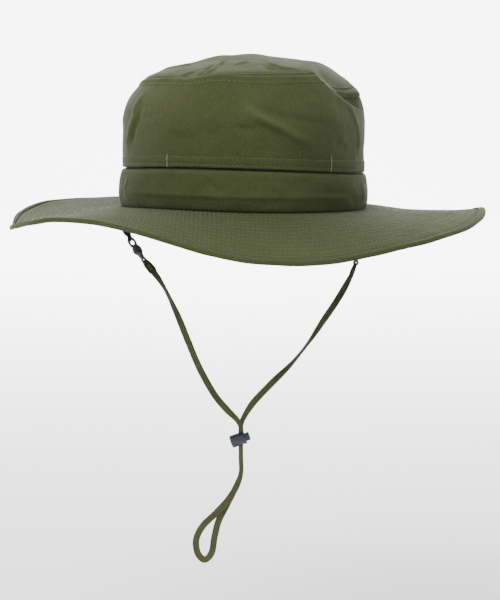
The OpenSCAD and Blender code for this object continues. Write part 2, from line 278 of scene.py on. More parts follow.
class HatShape:
    """The hat's surfaces as functions of an angle and a height or a distance."""

    def __init__(self, scene):
        self.c = scene.hat_crown
        self.b = scene.hat_brim
        self.half_len = self.c.seam_half_w + self.c.extra_half_len
        self.seam_half_w = self.c.seam_half_w
        self.width = self.b.width
        self.crown_h = self.c.crown_h
        self.tip_half_w = self.c.tip_half_w
        self.side_half_w = self.c.side_half_w
        self.extra = self.c.extra_half_len
        self.seam_lift = self.c.seam_lift
        self.hem_front_rise = self.c.hem_front_rise
        self.hem_side_tilt = self.c.hem_side_tilt

    def seam_rise(self, a):
        total = self.seam_lift
        for i, (height, crest) in enumerate(SEAM_WAVES):
            total += height * math.cos((i + 1) * (a - math.radians(crest)))
        return total

    def hem_lift(self, a, z):
        """How far a point at height z follows the hem line, which climbs to the front and to the right."""
        rise = self.hem_front_rise * max(0.0, -math.sin(a)) ** 2 - self.hem_side_tilt * math.cos(a)
        foot = self.c.hem_z
        return rise * ((max(0.0, z) / foot) ** 2 if z < foot else (self.crown_h - z) / (self.crown_h - foot))

    def side_r(self, z):
        t = max(0.0, (z - SHOULDER_Z) / (self.crown_h - SHOULDER_Z))
        return self.tip_half_w + (self.side_half_w - self.tip_half_w) * (1 - t**SHOULDER_POWER)

    def crown_point(self, a, r, z):
        """Plain point of the crown, before its dent."""
        lift = self.seam_rise(a) * (1 - z / self.crown_h) + self.hem_lift(a, z)
        return Vector((r * math.cos(a), (r + self.extra) * math.sin(a), z + lift))

    def seam_wave(self, degrees):
        return sum(h * bell(around(degrees, at) / w) for at, h, w in SEAM_BUMPS)

    def dented(self, p):
        """The point after one shoulder has sagged and the other one has been pushed in."""
        sagged = smooth((-p.x - 0.013) / 0.03) * smooth((p.z - 0.070) / 0.026)
        p = p - Vector((0, 0, SAG * sagged * (0.25 + 0.75 * bell((p.y - 0.005) / 0.055))))
        s = p.dot(DENT_NORMAL) - DENT_OFFSET
        near = smooth((0.090 - p.y) / 0.06) * smooth((p.z - 0.045) / 0.02)
        beyond = 0.5 * (s + math.sqrt(s * s + DENT_SOFT * DENT_SOFT))
        ridge = 0.0006 * bell(s / 0.0018) * near
        if beyond > 0.02 * DENT_SOFT:
            hollow = smooth(s / 0.0045) * (1 - smooth((s - 0.006) / 0.008)) * bell((p.y + 0.045) / 0.024)
            p = p + DENT_SHIFT * (beyond * near) - DENT_NORMAL * (DENT_HOLLOW * hollow)
        return p + DENT_NORMAL * ridge

    def dent_painted_shade(self, p):
        """From 1 on plain cloth to a half on the pushed-in shoulder: painted shade on the facet that faces
        away from the light.
        """
        s = p.dot(DENT_NORMAL) - DENT_OFFSET
        return 1 - 0.62 * smooth((s - 0.0004) / 0.0016) * smooth((0.075 - p.y) / 0.04)

    def brim_rise(self, a):
        """Height of the brim's edge."""
        total = -self.b.drop
        for i, (height, crest) in enumerate(BRIM_WAVES):
            total += height * math.cos((i + 1) * (a - math.radians(crest)))
        return total

    def brim_frame(self, a):
        """What brim_point needs at this angle: seam point, outward direction, drop and reach."""
        n = Vector((math.cos(a) / self.seam_half_w, math.sin(a) / self.half_len, 0)).normalized()
        seam = Vector((self.seam_half_w * math.cos(a), self.half_len * math.sin(a), 0))
        rise = self.seam_rise(a)
        drop = self.brim_rise(a) - rise
        reach = math.sqrt(self.width**2 - drop**2)
        return seam, n, rise, drop, reach

    def brim_point(self, at, a, w, dz):
        """Point of the brim at distance w from the seam along the cloth, lifted by dz."""
        seam, n, rise, drop, reach = at
        u = w / self.width
        degrees = math.degrees(a)
        outer = max(0.0, (u - 0.8) / 0.2)
        curl = outer**2 * bell(around(degrees, 183) / 15)
        p = seam + n * (reach * u - 0.0052 * curl)
        z = rise + drop * max(0.0, u) ** BRIM_CURVE + dz
        z -= 0.0006 * bell((w - 0.0004) / 0.0012) if dz > -0.001 else 0.0
        z += 0.0010 * outer**1.5 * bell(around(degrees, 3) / 10)
        z -= 0.0017 * smooth(2.5 * u) * bell(around(degrees, 14) / 26)
        lie = max(0.0, u) * (1.0 * soft_noise(p.x, p.y, 3, 0.05) + 0.35 * soft_noise(p.x, p.y, 5, 0.02))
        p.z = z + lie * MM * 0.6
        return p


# --------------------------------------------------------------------------------------------------
# Mesh building for cloth and tape
# --------------------------------------------------------------------------------------------------


def mesh_object(name, verts, faces, uvs=None, wear_and_shading=None):
    """A smooth object at the origin from points, faces, a uv for each point and its value of wear and painted
    light and shade from 0 to 1.
    """
    mesh = bpy.data.meshes.new(name)
    mesh.from_pydata([tuple(v) for v in verts], [], faces)
    if uvs is not None:
        layer = mesh.uv_layers.new(name="UVMap")
        flat = []
        for loop in mesh.loops:
            flat.extend(uvs[loop.vertex_index])
        layer.data.foreach_set("uv", flat)
    # This attribute carries wear together with painted light and shade: high values lighten the cloth, values
    # under 0.2 paint shade into it.
    attribute = mesh.attributes.new("wear_and_shading", "FLOAT", "POINT")
    attribute.data.foreach_set("value", wear_and_shading if wear_and_shading is not None else [0.3] * len(verts))
    mesh.polygons.foreach_set("use_smooth", [True] * len(mesh.polygons))
    mesh.update()
    obj = bpy.data.objects.new(name, mesh)
    bpy.context.scene.collection.objects.link(obj)
    return obj


def swept(name, sections, closed, uvs=None, wear_and_shading=None):
    """Closed solid through rows of outlines. An outline goes up one face and back down the other."""
    n = len(sections)
    m = len(sections[0])
    faces = []
    for i in range(n if closed else n - 1):
        i2 = (i + 1) % n
        for j in range(m):
            j2 = (j + 1) % m
            faces.append((i * m + j, i * m + j2, i2 * m + j2, i2 * m + j))
    if not closed:
        end = (n - 1) * m
        for j in range(m // 2 - 1):
            quad = (j, j + 1, m - 2 - j, m - 1 - j)
            faces.append(tuple(reversed(quad)))
            faces.append(tuple(end + k for k in quad))
    verts = [p for row in sections for p in row]
    flat_uv = None if uvs is None else [q for row in uvs for q in row]
    flat_wear_and_shading = None if wear_and_shading is None else [q for row in wear_and_shading for q in row]
    obj = mesh_object(name, verts, faces, flat_uv, flat_wear_and_shading)
    point_outwards(obj)
    return obj


def point_outwards(obj):
    """Makes a closed mesh's faces point out."""
    made = bmesh.new()
    made.from_mesh(obj.data)
    if made.calc_volume(signed=True) < 0:
        bmesh.ops.reverse_faces(made, faces=made.faces)
        made.to_mesh(obj.data)
    made.free()


def finish_piece(obj, body, slot, material, *nodes):
    """Material, body and the frame nodes that the piece stands for. The slot is not used."""
    obj.data.materials.clear()
    obj.data.materials.append(material)
    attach(obj, body)
    if nodes:
        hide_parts(*nodes)
    return obj


def half_angles(start, count):
    """Angles of half a ring from start, drawn in a little at its two side seams."""
    inset = math.radians(0.02)
    span = math.pi - 2 * inset
    return [start + inset + span * i / count for i in range(count + 1)]


def full_angles(count):
    return [TURN * i / count for i in range(count)]


# --------------------------------------------------------------------------------------------------
# Stitches
# --------------------------------------------------------------------------------------------------

STITCH_SIDES = 5
STITCH_RINGS = ((-0.5, 0.35, -0.7), (-0.25, 0.95, 0.25), (0.25, 0.95, 0.25), (0.5, 0.35, -0.7))


def add_stitch(verts, faces, centre, along, out, length, radius):
    """One thread stitch: it comes up out of the cloth, lies on it and goes down again."""
    across = out.cross(along).normalized()
    first = len(verts)
    for offset, size, lift in STITCH_RINGS:
        middle = centre + along * (offset * length) + out * (lift * radius)
        for k in range(STITCH_SIDES):
            b = TURN * k / STITCH_SIDES
            wide = radius * size
            verts.append(middle + across * (wide * math.cos(b)) + out * (wide * math.sin(b)))
    for i in range(len(STITCH_RINGS) - 1):
        for k in range(STITCH_SIDES):
            k2 = (k + 1) % STITCH_SIDES
            low = first + i * STITCH_SIDES
            high = low + STITCH_SIDES
            faces.append((low + k, high + k, high + k2, low + k2))
    last = first + (len(STITCH_RINGS) - 1) * STITCH_SIDES
    faces.append(tuple(first + k for k in range(STITCH_SIDES)))
    faces.append(tuple(last + k for k in reversed(range(STITCH_SIDES))))


def sew(name, rows, pitch, radius, fill=0.72):
    """One piece with a stitch at every pitch along each row of (point, outward) pairs."""
    verts = []
    faces = []
    for row in rows:
        travelled = 0.0
        wanted = pitch / 2
        for (p, out), (q, out2) in zip(row, row[1:]):
            step = (q - p).length
            while travelled + step >= wanted:
                t = (wanted - travelled) / step
                normal = out.lerp(out2, t).normalized()
                add_stitch(verts, faces, p.lerp(q, t), (q - p).normalized(), normal, pitch * fill, radius)
                wanted += pitch
            travelled += step
    obj = mesh_object(name, verts, faces)
    return obj


# --------------------------------------------------------------------------------------------------
# Materials
# --------------------------------------------------------------------------------------------------


class Nodes:
    """Short calls for building a node material."""

    def __init__(self, name):
        self.material = bpy.data.materials.new(name)
        self.material.use_nodes = True
        self.tree = self.material.node_tree
        self.shader = self.tree.nodes["Principled BSDF"]

    def add(self, kind, **settings):
        node = self.tree.nodes.new(kind)
        for key, value in settings.items():
            setattr(node, key, value)
        return node

    def link(self, source, target):
        self.tree.links.new(source, target)

    def set(self, **values):
        """Plain values on the shader's own sockets; underscores stand for spaces."""
        for key, value in values.items():
            self.shader.inputs[key.replace("_", " ")].default_value = value

    def math(self, operation, a, b=None, c=None):
        node = self.add("ShaderNodeMath", operation=operation)
        for socket, value in zip(node.inputs, (a, b, c)):
            if value is None:
                continue
            if isinstance(value, (int, float)):
                socket.default_value = value
            else:
                self.link(value, socket)
        return node.outputs[0]

    def object_point(self):
        return self.add("ShaderNodeTexCoord").outputs["Object"]

    def level(self):
        split = self.add("ShaderNodeSeparateXYZ")
        self.link(self.object_point(), split.inputs["Vector"])
        return split.outputs["Z"]

    def uv(self):
        return self.add("ShaderNodeUVMap", uv_map="UVMap").outputs["UV"]

    def wear_and_shading(self):
        return self.add("ShaderNodeAttribute", attribute_name="wear_and_shading").outputs["Fac"]

    def noise(self, vector, scale, detail=3.0, roughness=0.5):
        node = self.add("ShaderNodeTexNoise")
        node.inputs["Scale"].default_value = scale
        node.inputs["Detail"].default_value = detail
        node.inputs["Roughness"].default_value = roughness
        self.link(vector, node.inputs["Vector"])
        return node.outputs["Fac"]

    def between(self, value, low, high, to_low=0.0, to_high=1.0):
        node = self.add("ShaderNodeMapRange")
        node.inputs["From Min"].default_value = low
        node.inputs["From Max"].default_value = high
        node.inputs["To Min"].default_value = to_low
        node.inputs["To Max"].default_value = to_high
        self.link(value, node.inputs["Value"])
        return node.outputs[0]

    def mix(self, factor, a, b):
        """Colour a where factor is 0 and colour b where it is 1."""
        node = self.add("ShaderNodeMix", data_type="RGBA")
        if isinstance(factor, (int, float)):
            node.inputs["Factor"].default_value = factor
        else:
            self.link(factor, node.inputs["Factor"])
        for socket, value in ((node.inputs[6], a), (node.inputs[7], b)):
            if isinstance(value, bpy.types.NodeSocket):
                self.link(value, socket)
            else:
                socket.default_value = (*value, 1) if len(value) == 3 else value
        return node.outputs[2]

    def bump(self, height, distance, strength=1.0, normal=None):
        node = self.add("ShaderNodeBump")
        node.inputs["Distance"].default_value = distance
        node.inputs["Strength"].default_value = strength
        self.link(height, node.inputs["Height"])
        if normal is not None:
            self.link(normal, node.inputs["Normal"])
        return node.outputs[0]

    def colour(self, value):
        self.link(value, self.shader.inputs["Base Color"])

    def rough(self, value):
        self.link(value, self.shader.inputs["Roughness"])

    def normal(self, value):
        self.link(value, self.shader.inputs["Normal"])


def scaled(colour, factor):
    return tuple(c * factor for c in colour)


def weave(n, pitch_u, pitch_v):
    """Height of a plain weave on the piece's own uv, which is in metres."""
    parts = n.add("ShaderNodeSeparateXYZ")
    n.link(n.uv(), parts.inputs[0])
    u = n.math("MULTIPLY", parts.outputs[0], 1 / pitch_u)
    v = n.math("MULTIPLY", parts.outputs[1], 1 / pitch_v)
    warp = n.math("ABSOLUTE", n.math("SINE", n.math("MULTIPLY", u, math.pi)))
    weft = n.math("ABSOLUTE", n.math("SINE", n.math("MULTIPLY", v, math.pi)))
    cell = n.math("ADD", n.math("FLOOR", u), n.math("FLOOR", v))
    odd = n.math("FRACT", n.math("MULTIPLY", cell, 0.5))
    over = n.math("GREATER_THAN", odd, 0.25)
    up = n.math("MULTIPLY", over, warp)
    down = n.math("MULTIPLY", n.math("SUBTRACT", 1.0, over), weft)
    return n.math("ADD", up, down), over


def cloth_material(name, light, deep, sheen=0.1, pitch=0.00042):
    """Plain-weave cloth: two tones of thread, slubs, high spots lighter from wear and painted highlights,
    painted shade between the threads and in seams and crevices, and a soft sheen.
    """
    n = Nodes(name)
    height, over = weave(n, pitch, pitch)
    place = n.object_point()
    blotches = n.noise(place, 26.0, 4.0, 0.55)
    slubs = n.noise(place, 900.0, 2.0, 0.6)
    threads = n.mix(n.math("MULTIPLY", over, 0.55), light, deep)
    # Painted shade in the gaps between the threads, where the weave is low.
    pressed = n.mix(n.between(height, 0.0, 0.55, 0.55, 0.0), threads, scaled(deep, 0.55))
    varied = n.mix(n.between(blotches, 0.38, 0.66, 0.0, 0.34), pressed, scaled(light, 1.22))
    flecked = n.mix(n.between(slubs, 0.54, 0.70, 0.0, 0.45), varied, scaled(light, 1.4))
    dull = n.mix(n.between(slubs, 0.30, 0.46, 0.45, 0.0), flecked, scaled(deep, 0.6))
    # Lighter where the attribute is high: wear together with painted highlights on raised folds, edges and
    # the band's ridge.
    worn_and_lit = n.mix(n.between(n.wear_and_shading(), 0.3, 1.0, 0.0, 0.45), dull, scaled(light, 1.75))
    # Painted shade: where the attribute is under 0.2, in seam crevices and on the pushed-in shoulder, the
    # colour goes dark.
    n.colour(n.mix(n.between(n.wear_and_shading(), 0.0, 0.2, 0.85, 0.0), worn_and_lit, scaled(deep, 0.2)))
    n.rough(n.between(blotches, 0.3, 0.7, 0.92, 0.8))
    fine = n.bump(height, 0.00007, 0.55)
    soft = n.bump(n.noise(place, 330.0, 4.0, 0.6), 0.00022, 0.6, fine)
    n.normal(n.bump(n.noise(place, 75.0, 4.0, 0.6), 0.0009, 0.5, soft))
    n.set(Sheen_Weight=sheen, Sheen_Roughness=0.4, Specular_IOR_Level=0.16)
    n.set(Sheen_Tint=(0.85, 0.92, 0.66, 1))
    return n.material


def thread_material(name, colour, strength=0.3):
    """Spun thread: fine twist, a faint gloss and small changes of tone."""
    n = Nodes(name)
    place = n.object_point()
    tone = n.noise(place, 420.0, 2.0)
    n.colour(n.mix(n.between(tone, 0.3, 0.7), scaled(colour, 0.8), scaled(colour, 1.2)))
    n.rough(n.between(tone, 0.3, 0.7, 0.55, 0.7))
    n.normal(n.bump(n.noise(place, 2600.0, 2.0), 0.00006, 0.6))
    n.set(Sheen_Weight=strength, Sheen_Roughness=0.4)
    return n.material


def tape_material(name, colour, rib=0.0009, across=0.00045, sheen=0.1):
    """Narrow woven tape: ribs along it and fine picks across it, painted shade between the threads, and
    darker towards the brim as painted shade from the brim.
    """
    n = Nodes(name)
    height, over = weave(n, rib, across)
    place = n.object_point()
    tone = n.noise(place, 120.0, 3.0)
    base = n.mix(n.math("MULTIPLY", over, 0.6), scaled(colour, 1.2), scaled(colour, 0.78))
    # Painted shade in the gaps between the threads, where the weave is low.
    pressed = n.mix(n.between(height, 0.0, 0.6, 0.6, 0.0), base, scaled(colour, 0.4))
    varied = n.mix(n.between(tone, 0.4, 0.7, 0.0, 0.4), pressed, scaled(colour, 1.5))
    # Painted shade from the brim: towards the top the tape goes almost black.
    n.colour(n.mix(n.between(n.level(), -0.085, -0.048, 0.0, 0.93), varied, scaled(colour, 0.15)))
    n.rough(n.between(tone, 0.3, 0.7, 0.85, 0.7))
    n.normal(n.bump(height, 0.00016, 0.8))
    n.set(Sheen_Weight=sheen, Sheen_Roughness=0.4, Specular_IOR_Level=0.3)
    return n.material


def plastic_material(name, colour, gloss=0.38):
    """Moulded nylon: fine grain, finger marks in the gloss and pale scuffs here and there."""
    n = Nodes(name)
    place = n.object_point()
    grain = n.noise(place, 3200.0, 2.0)
    marks = n.noise(place, 260.0, 4.0, 0.6)
    n.colour(n.mix(n.between(marks, 0.58, 0.75, 0.0, 0.35), colour, scaled(colour, 3.2)))
    n.rough(n.between(marks, 0.3, 0.7, gloss - 0.06, gloss + 0.16))
    n.normal(n.bump(grain, 0.00005, 0.35))
    n.set(Specular_IOR_Level=0.5)
    return n.material


def steel_material(name):
    """Drawn spring wire."""
    n = Nodes(name)
    tone = n.noise(n.object_point(), 1500.0, 2.0)
    n.colour(n.mix(tone, (0.5, 0.5, 0.52), (0.68, 0.68, 0.7)))
    n.rough(n.between(tone, 0.3, 0.7, 0.22, 0.36))
    n.set(Metallic=1.0)
    return n.material


def knit_material(name, colour):
    """Fine ventilation mesh: round holes in staggered rows, drawn as dark pits of painted shade."""
    n = Nodes(name)
    parts = n.add("ShaderNodeSeparateXYZ")
    n.link(n.uv(), parts.inputs[0])
    u = n.math("MULTIPLY", parts.outputs[0], TURN / 0.0018)
    v = n.math("MULTIPLY", parts.outputs[1], TURN / 0.0018)
    height = n.math("ADD", n.math("MULTIPLY", n.math("SINE", u), n.math("SINE", v)), 0.35)
    # Painted shade in the holes, which are drawn almost black.
    n.colour(n.mix(n.between(height, 0.0, 0.5), scaled(colour, 0.12), scaled(colour, 1.2)))
    n.normal(n.bump(n.between(height, 0.0, 0.6), 0.0004, 0.9))
    n.set(Roughness=0.85, Sheen_Weight=0.2)
    return n.material


def felt_material(name, colour):
    """Non-woven interlining."""
    n = Nodes(name)
    place = n.object_point()
    fibres = n.noise(place, 700.0, 5.0, 0.7)
    n.colour(n.mix(n.between(fibres, 0.3, 0.7), scaled(colour, 0.82), scaled(colour, 1.06)))
    n.normal(n.bump(fibres, 0.0003, 0.6))
    n.set(Roughness=0.95)
    return n.material


def floor_material(name):
    """Matt pale paper."""
    n = Nodes(name)
    tone = n.noise(n.object_point(), 6.0, 2.0)
    n.colour(n.mix(tone, (0.93, 0.93, 0.925), (0.95, 0.95, 0.945)))
    n.set(Roughness=0.95, Specular_IOR_Level=0.1)
    return n.material


MATERIALS = {}


def finish(name):
    """The named finish, made the first time that it is asked for."""
    if name in MATERIALS:
        return MATERIALS[name]
    c = bpy.context.scene.hat_colours
    olive = tuple(c.olive)
    deep = tuple(c.olive_deep)
    makers = {
        "crown_cloth": lambda: cloth_material("crown_cloth", olive, deep),
        # The brim's cloths are darker copies of the crown's olive: painted shade on the same cloth, the under
        # cloth darkest.
        "brim_cloth": lambda: cloth_material("brim_cloth", scaled(olive, 0.92), scaled(deep, 0.92), 0.06),
        "brim_under_cloth": lambda: cloth_material("brim_under_cloth", scaled(olive, 0.88), deep),
        "binding_cloth": lambda: cloth_material("binding_cloth", scaled(olive, 0.96), deep),
        "crown_thread": lambda: thread_material("crown_thread", scaled(olive, 1.15)),
        "brim_thread": lambda: thread_material("brim_thread", scaled(olive, 1.6)),
        "webbing_thread": lambda: thread_material("webbing_thread", scaled(tuple(c.webbing), 1.8), 0.1),
        "bartack_thread": lambda: thread_material("bartack_thread", tuple(c.bartack)),
        "tape_thread": lambda: thread_material("tape_thread", scaled(tuple(c.tape), 1.3)),
        "lining": lambda: cloth_material("lining", tuple(c.lining), scaled(tuple(c.lining), 0.7), 0.3),
        "knit": lambda: knit_material("knit", tuple(c.lining)),
        "interlining": lambda: felt_material("interlining", (0.52, 0.5, 0.42)),
        "tape": lambda: tape_material("tape", tuple(c.tape)),
        "webbing": lambda: tape_material("webbing", tuple(c.webbing), 0.0012, 0.0006, 0.1),
        "plastic": lambda: plastic_material("plastic", tuple(c.plastic)),
        "lock_plastic": lambda: plastic_material("lock_plastic", tuple(c.lock), 0.34),
        "steel": lambda: steel_material("steel"),
        "floor": lambda: floor_material("floor"),
    }
    MATERIALS[name] = makers[name]()
    return MATERIALS[name]


# --------------------------------------------------------------------------------------------------
# Crown
# --------------------------------------------------------------------------------------------------


def side_lie(degrees, z):
    """How far the upper side panel's cloth stands out from its plain shape."""
    a = math.radians(degrees)
    out = fold_height(degrees, z, SIDE_FOLDS, 0.0017)
    out += 0.00055 * ring_noise(a, z, 11, 0.034) + 0.00024 * ring_noise(a, z, 17, 0.012)
    out += 0.00009 * ring_noise(a, z, 19, 0.0045)
    return out * (0.45 + 0.55 * smooth((z - 0.030) / 0.02))


def pucker(degrees, pitch, seed):
    """Uneven gathers along a seam, from -1 to 1."""
    a = math.radians(degrees)
    count = round(TURN * 0.093 / pitch)
    drift = 1.6 * ring_noise(a, 0, seed, 0.008)
    return math.sin(a * count + drift) * (0.7 + 0.45 * ring_noise(a, 0.3, seed, 0.013))


def side_heights(h):
    """Heights at which the side panel has points, closest at its hem and at its tip seam."""
    foot = h.c.hem_z
    heights = [foot + 0.0008 * i for i in range(15)]
    heights += [foot + 0.0112 + 0.00175 * (i + 1) for i in range(29)]
    last = heights[-1]
    return heights + [last + (h.crown_h - last) * (i + 1) / 18 for i in range(18)]


def side_out(h, degrees, z):
    """Half width of the side panel's outer face: plain shape, folds, hem and tip seam."""
    gather = pucker(degrees, 0.0028, 21)
    ripple = pucker(degrees, 0.0042, 27)
    r = h.side_r(z) + side_lie(degrees, z)
    up = z - h.c.hem_z
    below = h.crown_h - z
    r += 0.00030 * smooth((0.0090 - up) / 0.0008)
    for line in HEM_LINES:
        r += groove(up - line, 0.0006, 0.00040)
    r += 0.00007 * ripple * smooth(up / 0.001) * smooth((HEM_LINES[1] + 0.002 - up) / 0.003)
    r -= 0.0009 * smooth((0.0011 - up) / 0.0011) ** 2
    seam_fade = smooth((FELL_H + 0.0014 - below) / 0.0018)
    r += 0.00070 * seam_fade
    r += 0.00055 * gather * bell((below - FELL_H * 0.5) / (FELL_H * 0.42))
    r += 0.00014 * gather * smooth((0.012 - below) / 0.008) * (1 - seam_fade)
    return r + groove(below, 0.0009, 0.0030)


def side_place(h, a, r, z):
    """Point of the side panel with the waves of its tip seam and its dent."""
    wave = h.seam_wave(math.degrees(a)) * smooth((z - 0.070) / 0.027)
    return h.dented(h.crown_point(a, r, z) + Vector((0, 0, wave)))


def side_surface(h, a, z, lift):
    """Point on the side panel's outer face, lifted off it."""
    return side_place(h, a, side_out(h, math.degrees(a), z) + lift, z)


def side_section(h, a):
    """Outline of the upper side panel: outer face up to the tip seam and inner face back down."""
    degrees = math.degrees(a)
    foot = h.c.hem_z
    outer = [(side_out(h, degrees, z), z) for z in side_heights(h)]
    inner = [(r - h.c.cloth_t - (0.0008 if z < foot + 0.019 else 0.0), z) for r, z in reversed(outer)]
    both = outer + inner
    wear_and_shading = []
    # Lighter at the hem's edge, the fell's lower edge and on raised folds, as wear with painted highlights;
    # painted shade at the tip seam, at the hem's foot and on the pushed-in shoulder.
    for r, z in both:
        edge = 0.5 * bell((z - foot - 0.0010) / 0.0008) + 0.9 * bell((h.crown_h - z - FELL_H) / 0.0012)
        fold = max(0.0, fold_height(degrees, z, SIDE_FOLDS, 0.0017))
        seam = smooth((h.crown_h - z) / 0.0009) * smooth((z - foot + 0.0002) / 0.0008)
        seam *= h.dent_painted_shade(h.crown_point(a, r, z))
        wear_and_shading.append(seam * min(1.0, 0.28 + 0.4 * edge + 320 * fold))
    arc = a * 0.093
    return [side_place(h, a, r, z) for r, z in both], [(arc, z) for r, z in both], wear_and_shading


def ring_solid(name, section, angles, closed):
    """Solid swept through the sections that a function of the angle gives."""
    rows = [section(a) for a in angles]
    return swept(
        name, [r[0] for r in rows], closed, [r[1] for r in rows], [r[2] for r in rows]
    )


def build_halves(name, node, section, count, slot, material):
    """The rear and the front half of a ring of cloth; they meet at the side seams."""
    made = []
    for end, start in (("_rear", 0.0), ("_front", math.pi)):
        obj = ring_solid(name + end, section, half_angles(start, count), False)
        finish_piece(obj, "hat", slot, material, node + end)
        made.append(obj)
    return made


def build_sides(h):
    """The two halves of the upper side panel."""
    cloth = finish("crown_cloth")
    return build_halves("side_panel", "crown_side", lambda a: side_section(h, a), 330, "olive_cloth", cloth)


BAND_PROFILE = (
    (-0.0006, 0.0850), (0.0004, 0.0856), (0.0014, 0.0862), (0.0026, 0.0867), (0.0042, 0.0870),
    (0.0065, 0.0873), (0.0090, 0.0874), (0.0120, 0.0874), (0.0150, 0.0873), (0.0180, 0.0870),
    (0.0205, 0.0867), (0.0225, 0.0864), (0.0240, 0.0861), (0.0250, 0.0857), (0.0256, 0.0851),
    (0.0260, 0.0840), (0.0264, 0.0828), (0.0280, 0.0822), (0.0360, 0.0822),
)


def profile_at(profile, z):
    """Value of a list of (height, value) pairs at a height."""
    for (z0, r0), (z1, r1) in zip(profile, profile[1:]):
        if z <= z1:
            return r0 + (r1 - r0) * max(0.0, (z - z0) / (z1 - z0))
    return profile[-1][1]


def band_section(h, a):
    """Outline of the lower band: it bulges, and in front it is rolled under below a soft ridge."""
    degrees = math.degrees(a)
    arc = a * 0.093
    heights = [-0.0006 + 0.0009 * i for i in range(28)] + [z for z, r in BAND_PROFILE[13:]]
    front = smooth((-math.sin(a) - 0.25) / 0.5)
    outer = []
    for z in heights:
        r = profile_at(BAND_PROFILE, z)
        ridge = bell((z - 0.0104) / (0.0028 if z > 0.0104 else 0.0016))
        r += front * (0.0007 * ridge - 0.0005 * bell((z - 0.0045) / 0.0045))
        free = smooth((z - 0.001) / 0.006) * smooth((0.025 - z) / 0.006)
        r += free * (0.00060 * ring_noise(a, z, 31, 0.028) + 0.0002 * ring_noise(a, z, 37, 0.010))
        r += free * fold_height(degrees, z, BAND_FOLDS, 0.0017)
        r += 0.0002 * pucker(degrees, 0.0040, 41) * smooth((0.006 - z) / 0.005)
        outer.append((r, z))
    both = outer + [(r - 0.0012, z) for r, z in reversed(outer)]
    points = [h.crown_point(a, r, z) for r, z in both]
    uvs = [(arc, z + 0.2) for r, z in both]
    wear_and_shading = []
    # Painted shade at the band's foot by the brim and under the hem; in front a painted highlight on the
    # ridge and painted shade on the rolled-under cloth below it.
    for r, z in both:
        shade = smooth((z - 0.0003) / 0.0010) * (1 - 0.9 * smooth((z - 0.0252) / 0.0008))
        lit = 0.25 * bell((z - 0.0110) / 0.0010) - 0.06 * smooth((0.0104 - z) / 0.001)
        wear_and_shading.append(shade * (0.28 + front * lit))
    return points, uvs, wear_and_shading


# Folds of the lower band, as for the side panel
BAND_FOLDS = (
    (-0.0008, 0.0034, (252, 0.019), (262, 0.012)),
    (0.0006, 0.0030, (281, 0.022), (288, 0.014)),
    (-0.0006, 0.0034, (222, 0.020), (226, 0.008)),
    (-0.0007, 0.0030, (306, 0.014), (322, 0.012), (332, 0.009)),
    (0.0007, 0.0034, (341, 0.020), (343, 0.006)),
    (0.0009, 0.0034, (204, 0.022), (200, 0.012), (208, 0.004)),
    (-0.0008, 0.0040, (50, 0.020), (56, 0.004)),
    (0.0008, 0.0040, (95, 0.020), (100, 0.004)),
    (-0.0008, 0.0040, (130, 0.020), (137, 0.004)),
)


def build_bands(h):
    """The two halves of the lower band."""
    cloth = finish("crown_cloth")
    return build_halves("lower_band", "crown_band", lambda a: band_section(h, a), 300, "olive_cloth", cloth)


def tip_shape(h, a, rho, lift=0.0):
    """Point of the tip at a part rho of the way from its middle to its seam."""
    degrees = math.degrees(a)
    x = h.tip_half_w * rho * math.cos(a)
    y = (h.tip_half_w + h.extra) * rho * math.sin(a)
    z = h.crown_h + h.c.tip_dome * (1 - rho * rho) ** TIP_POWER
    z += 0.0010 * soft_noise(x, y, 51, 0.036) * (1 - rho**6)
    z += 0.00035 * soft_noise(x, y, 57, 0.012) * (1 - rho**6)
    z += fold_height(degrees, rho, TIP_FOLDS, 0.012)
    z -= 0.0028 * bell((x + 0.020) / 0.022) * bell((y + 0.058) / 0.030)
    near = (1 - rho) * (h.tip_half_w + 0.5 * h.extra)
    gather = pucker(degrees, 0.0028, 21)
    z += 0.00030 * gather * bell(near / 0.005)
    z += groove(near - 0.0026, 0.0006, 0.0003) + groove(near, 0.0008, 0.0020)
    wave = h.seam_wave(degrees)
    z += wave * smooth((rho - 0.55) / 0.45) + lift
    return h.dented(Vector((x, y, z)))


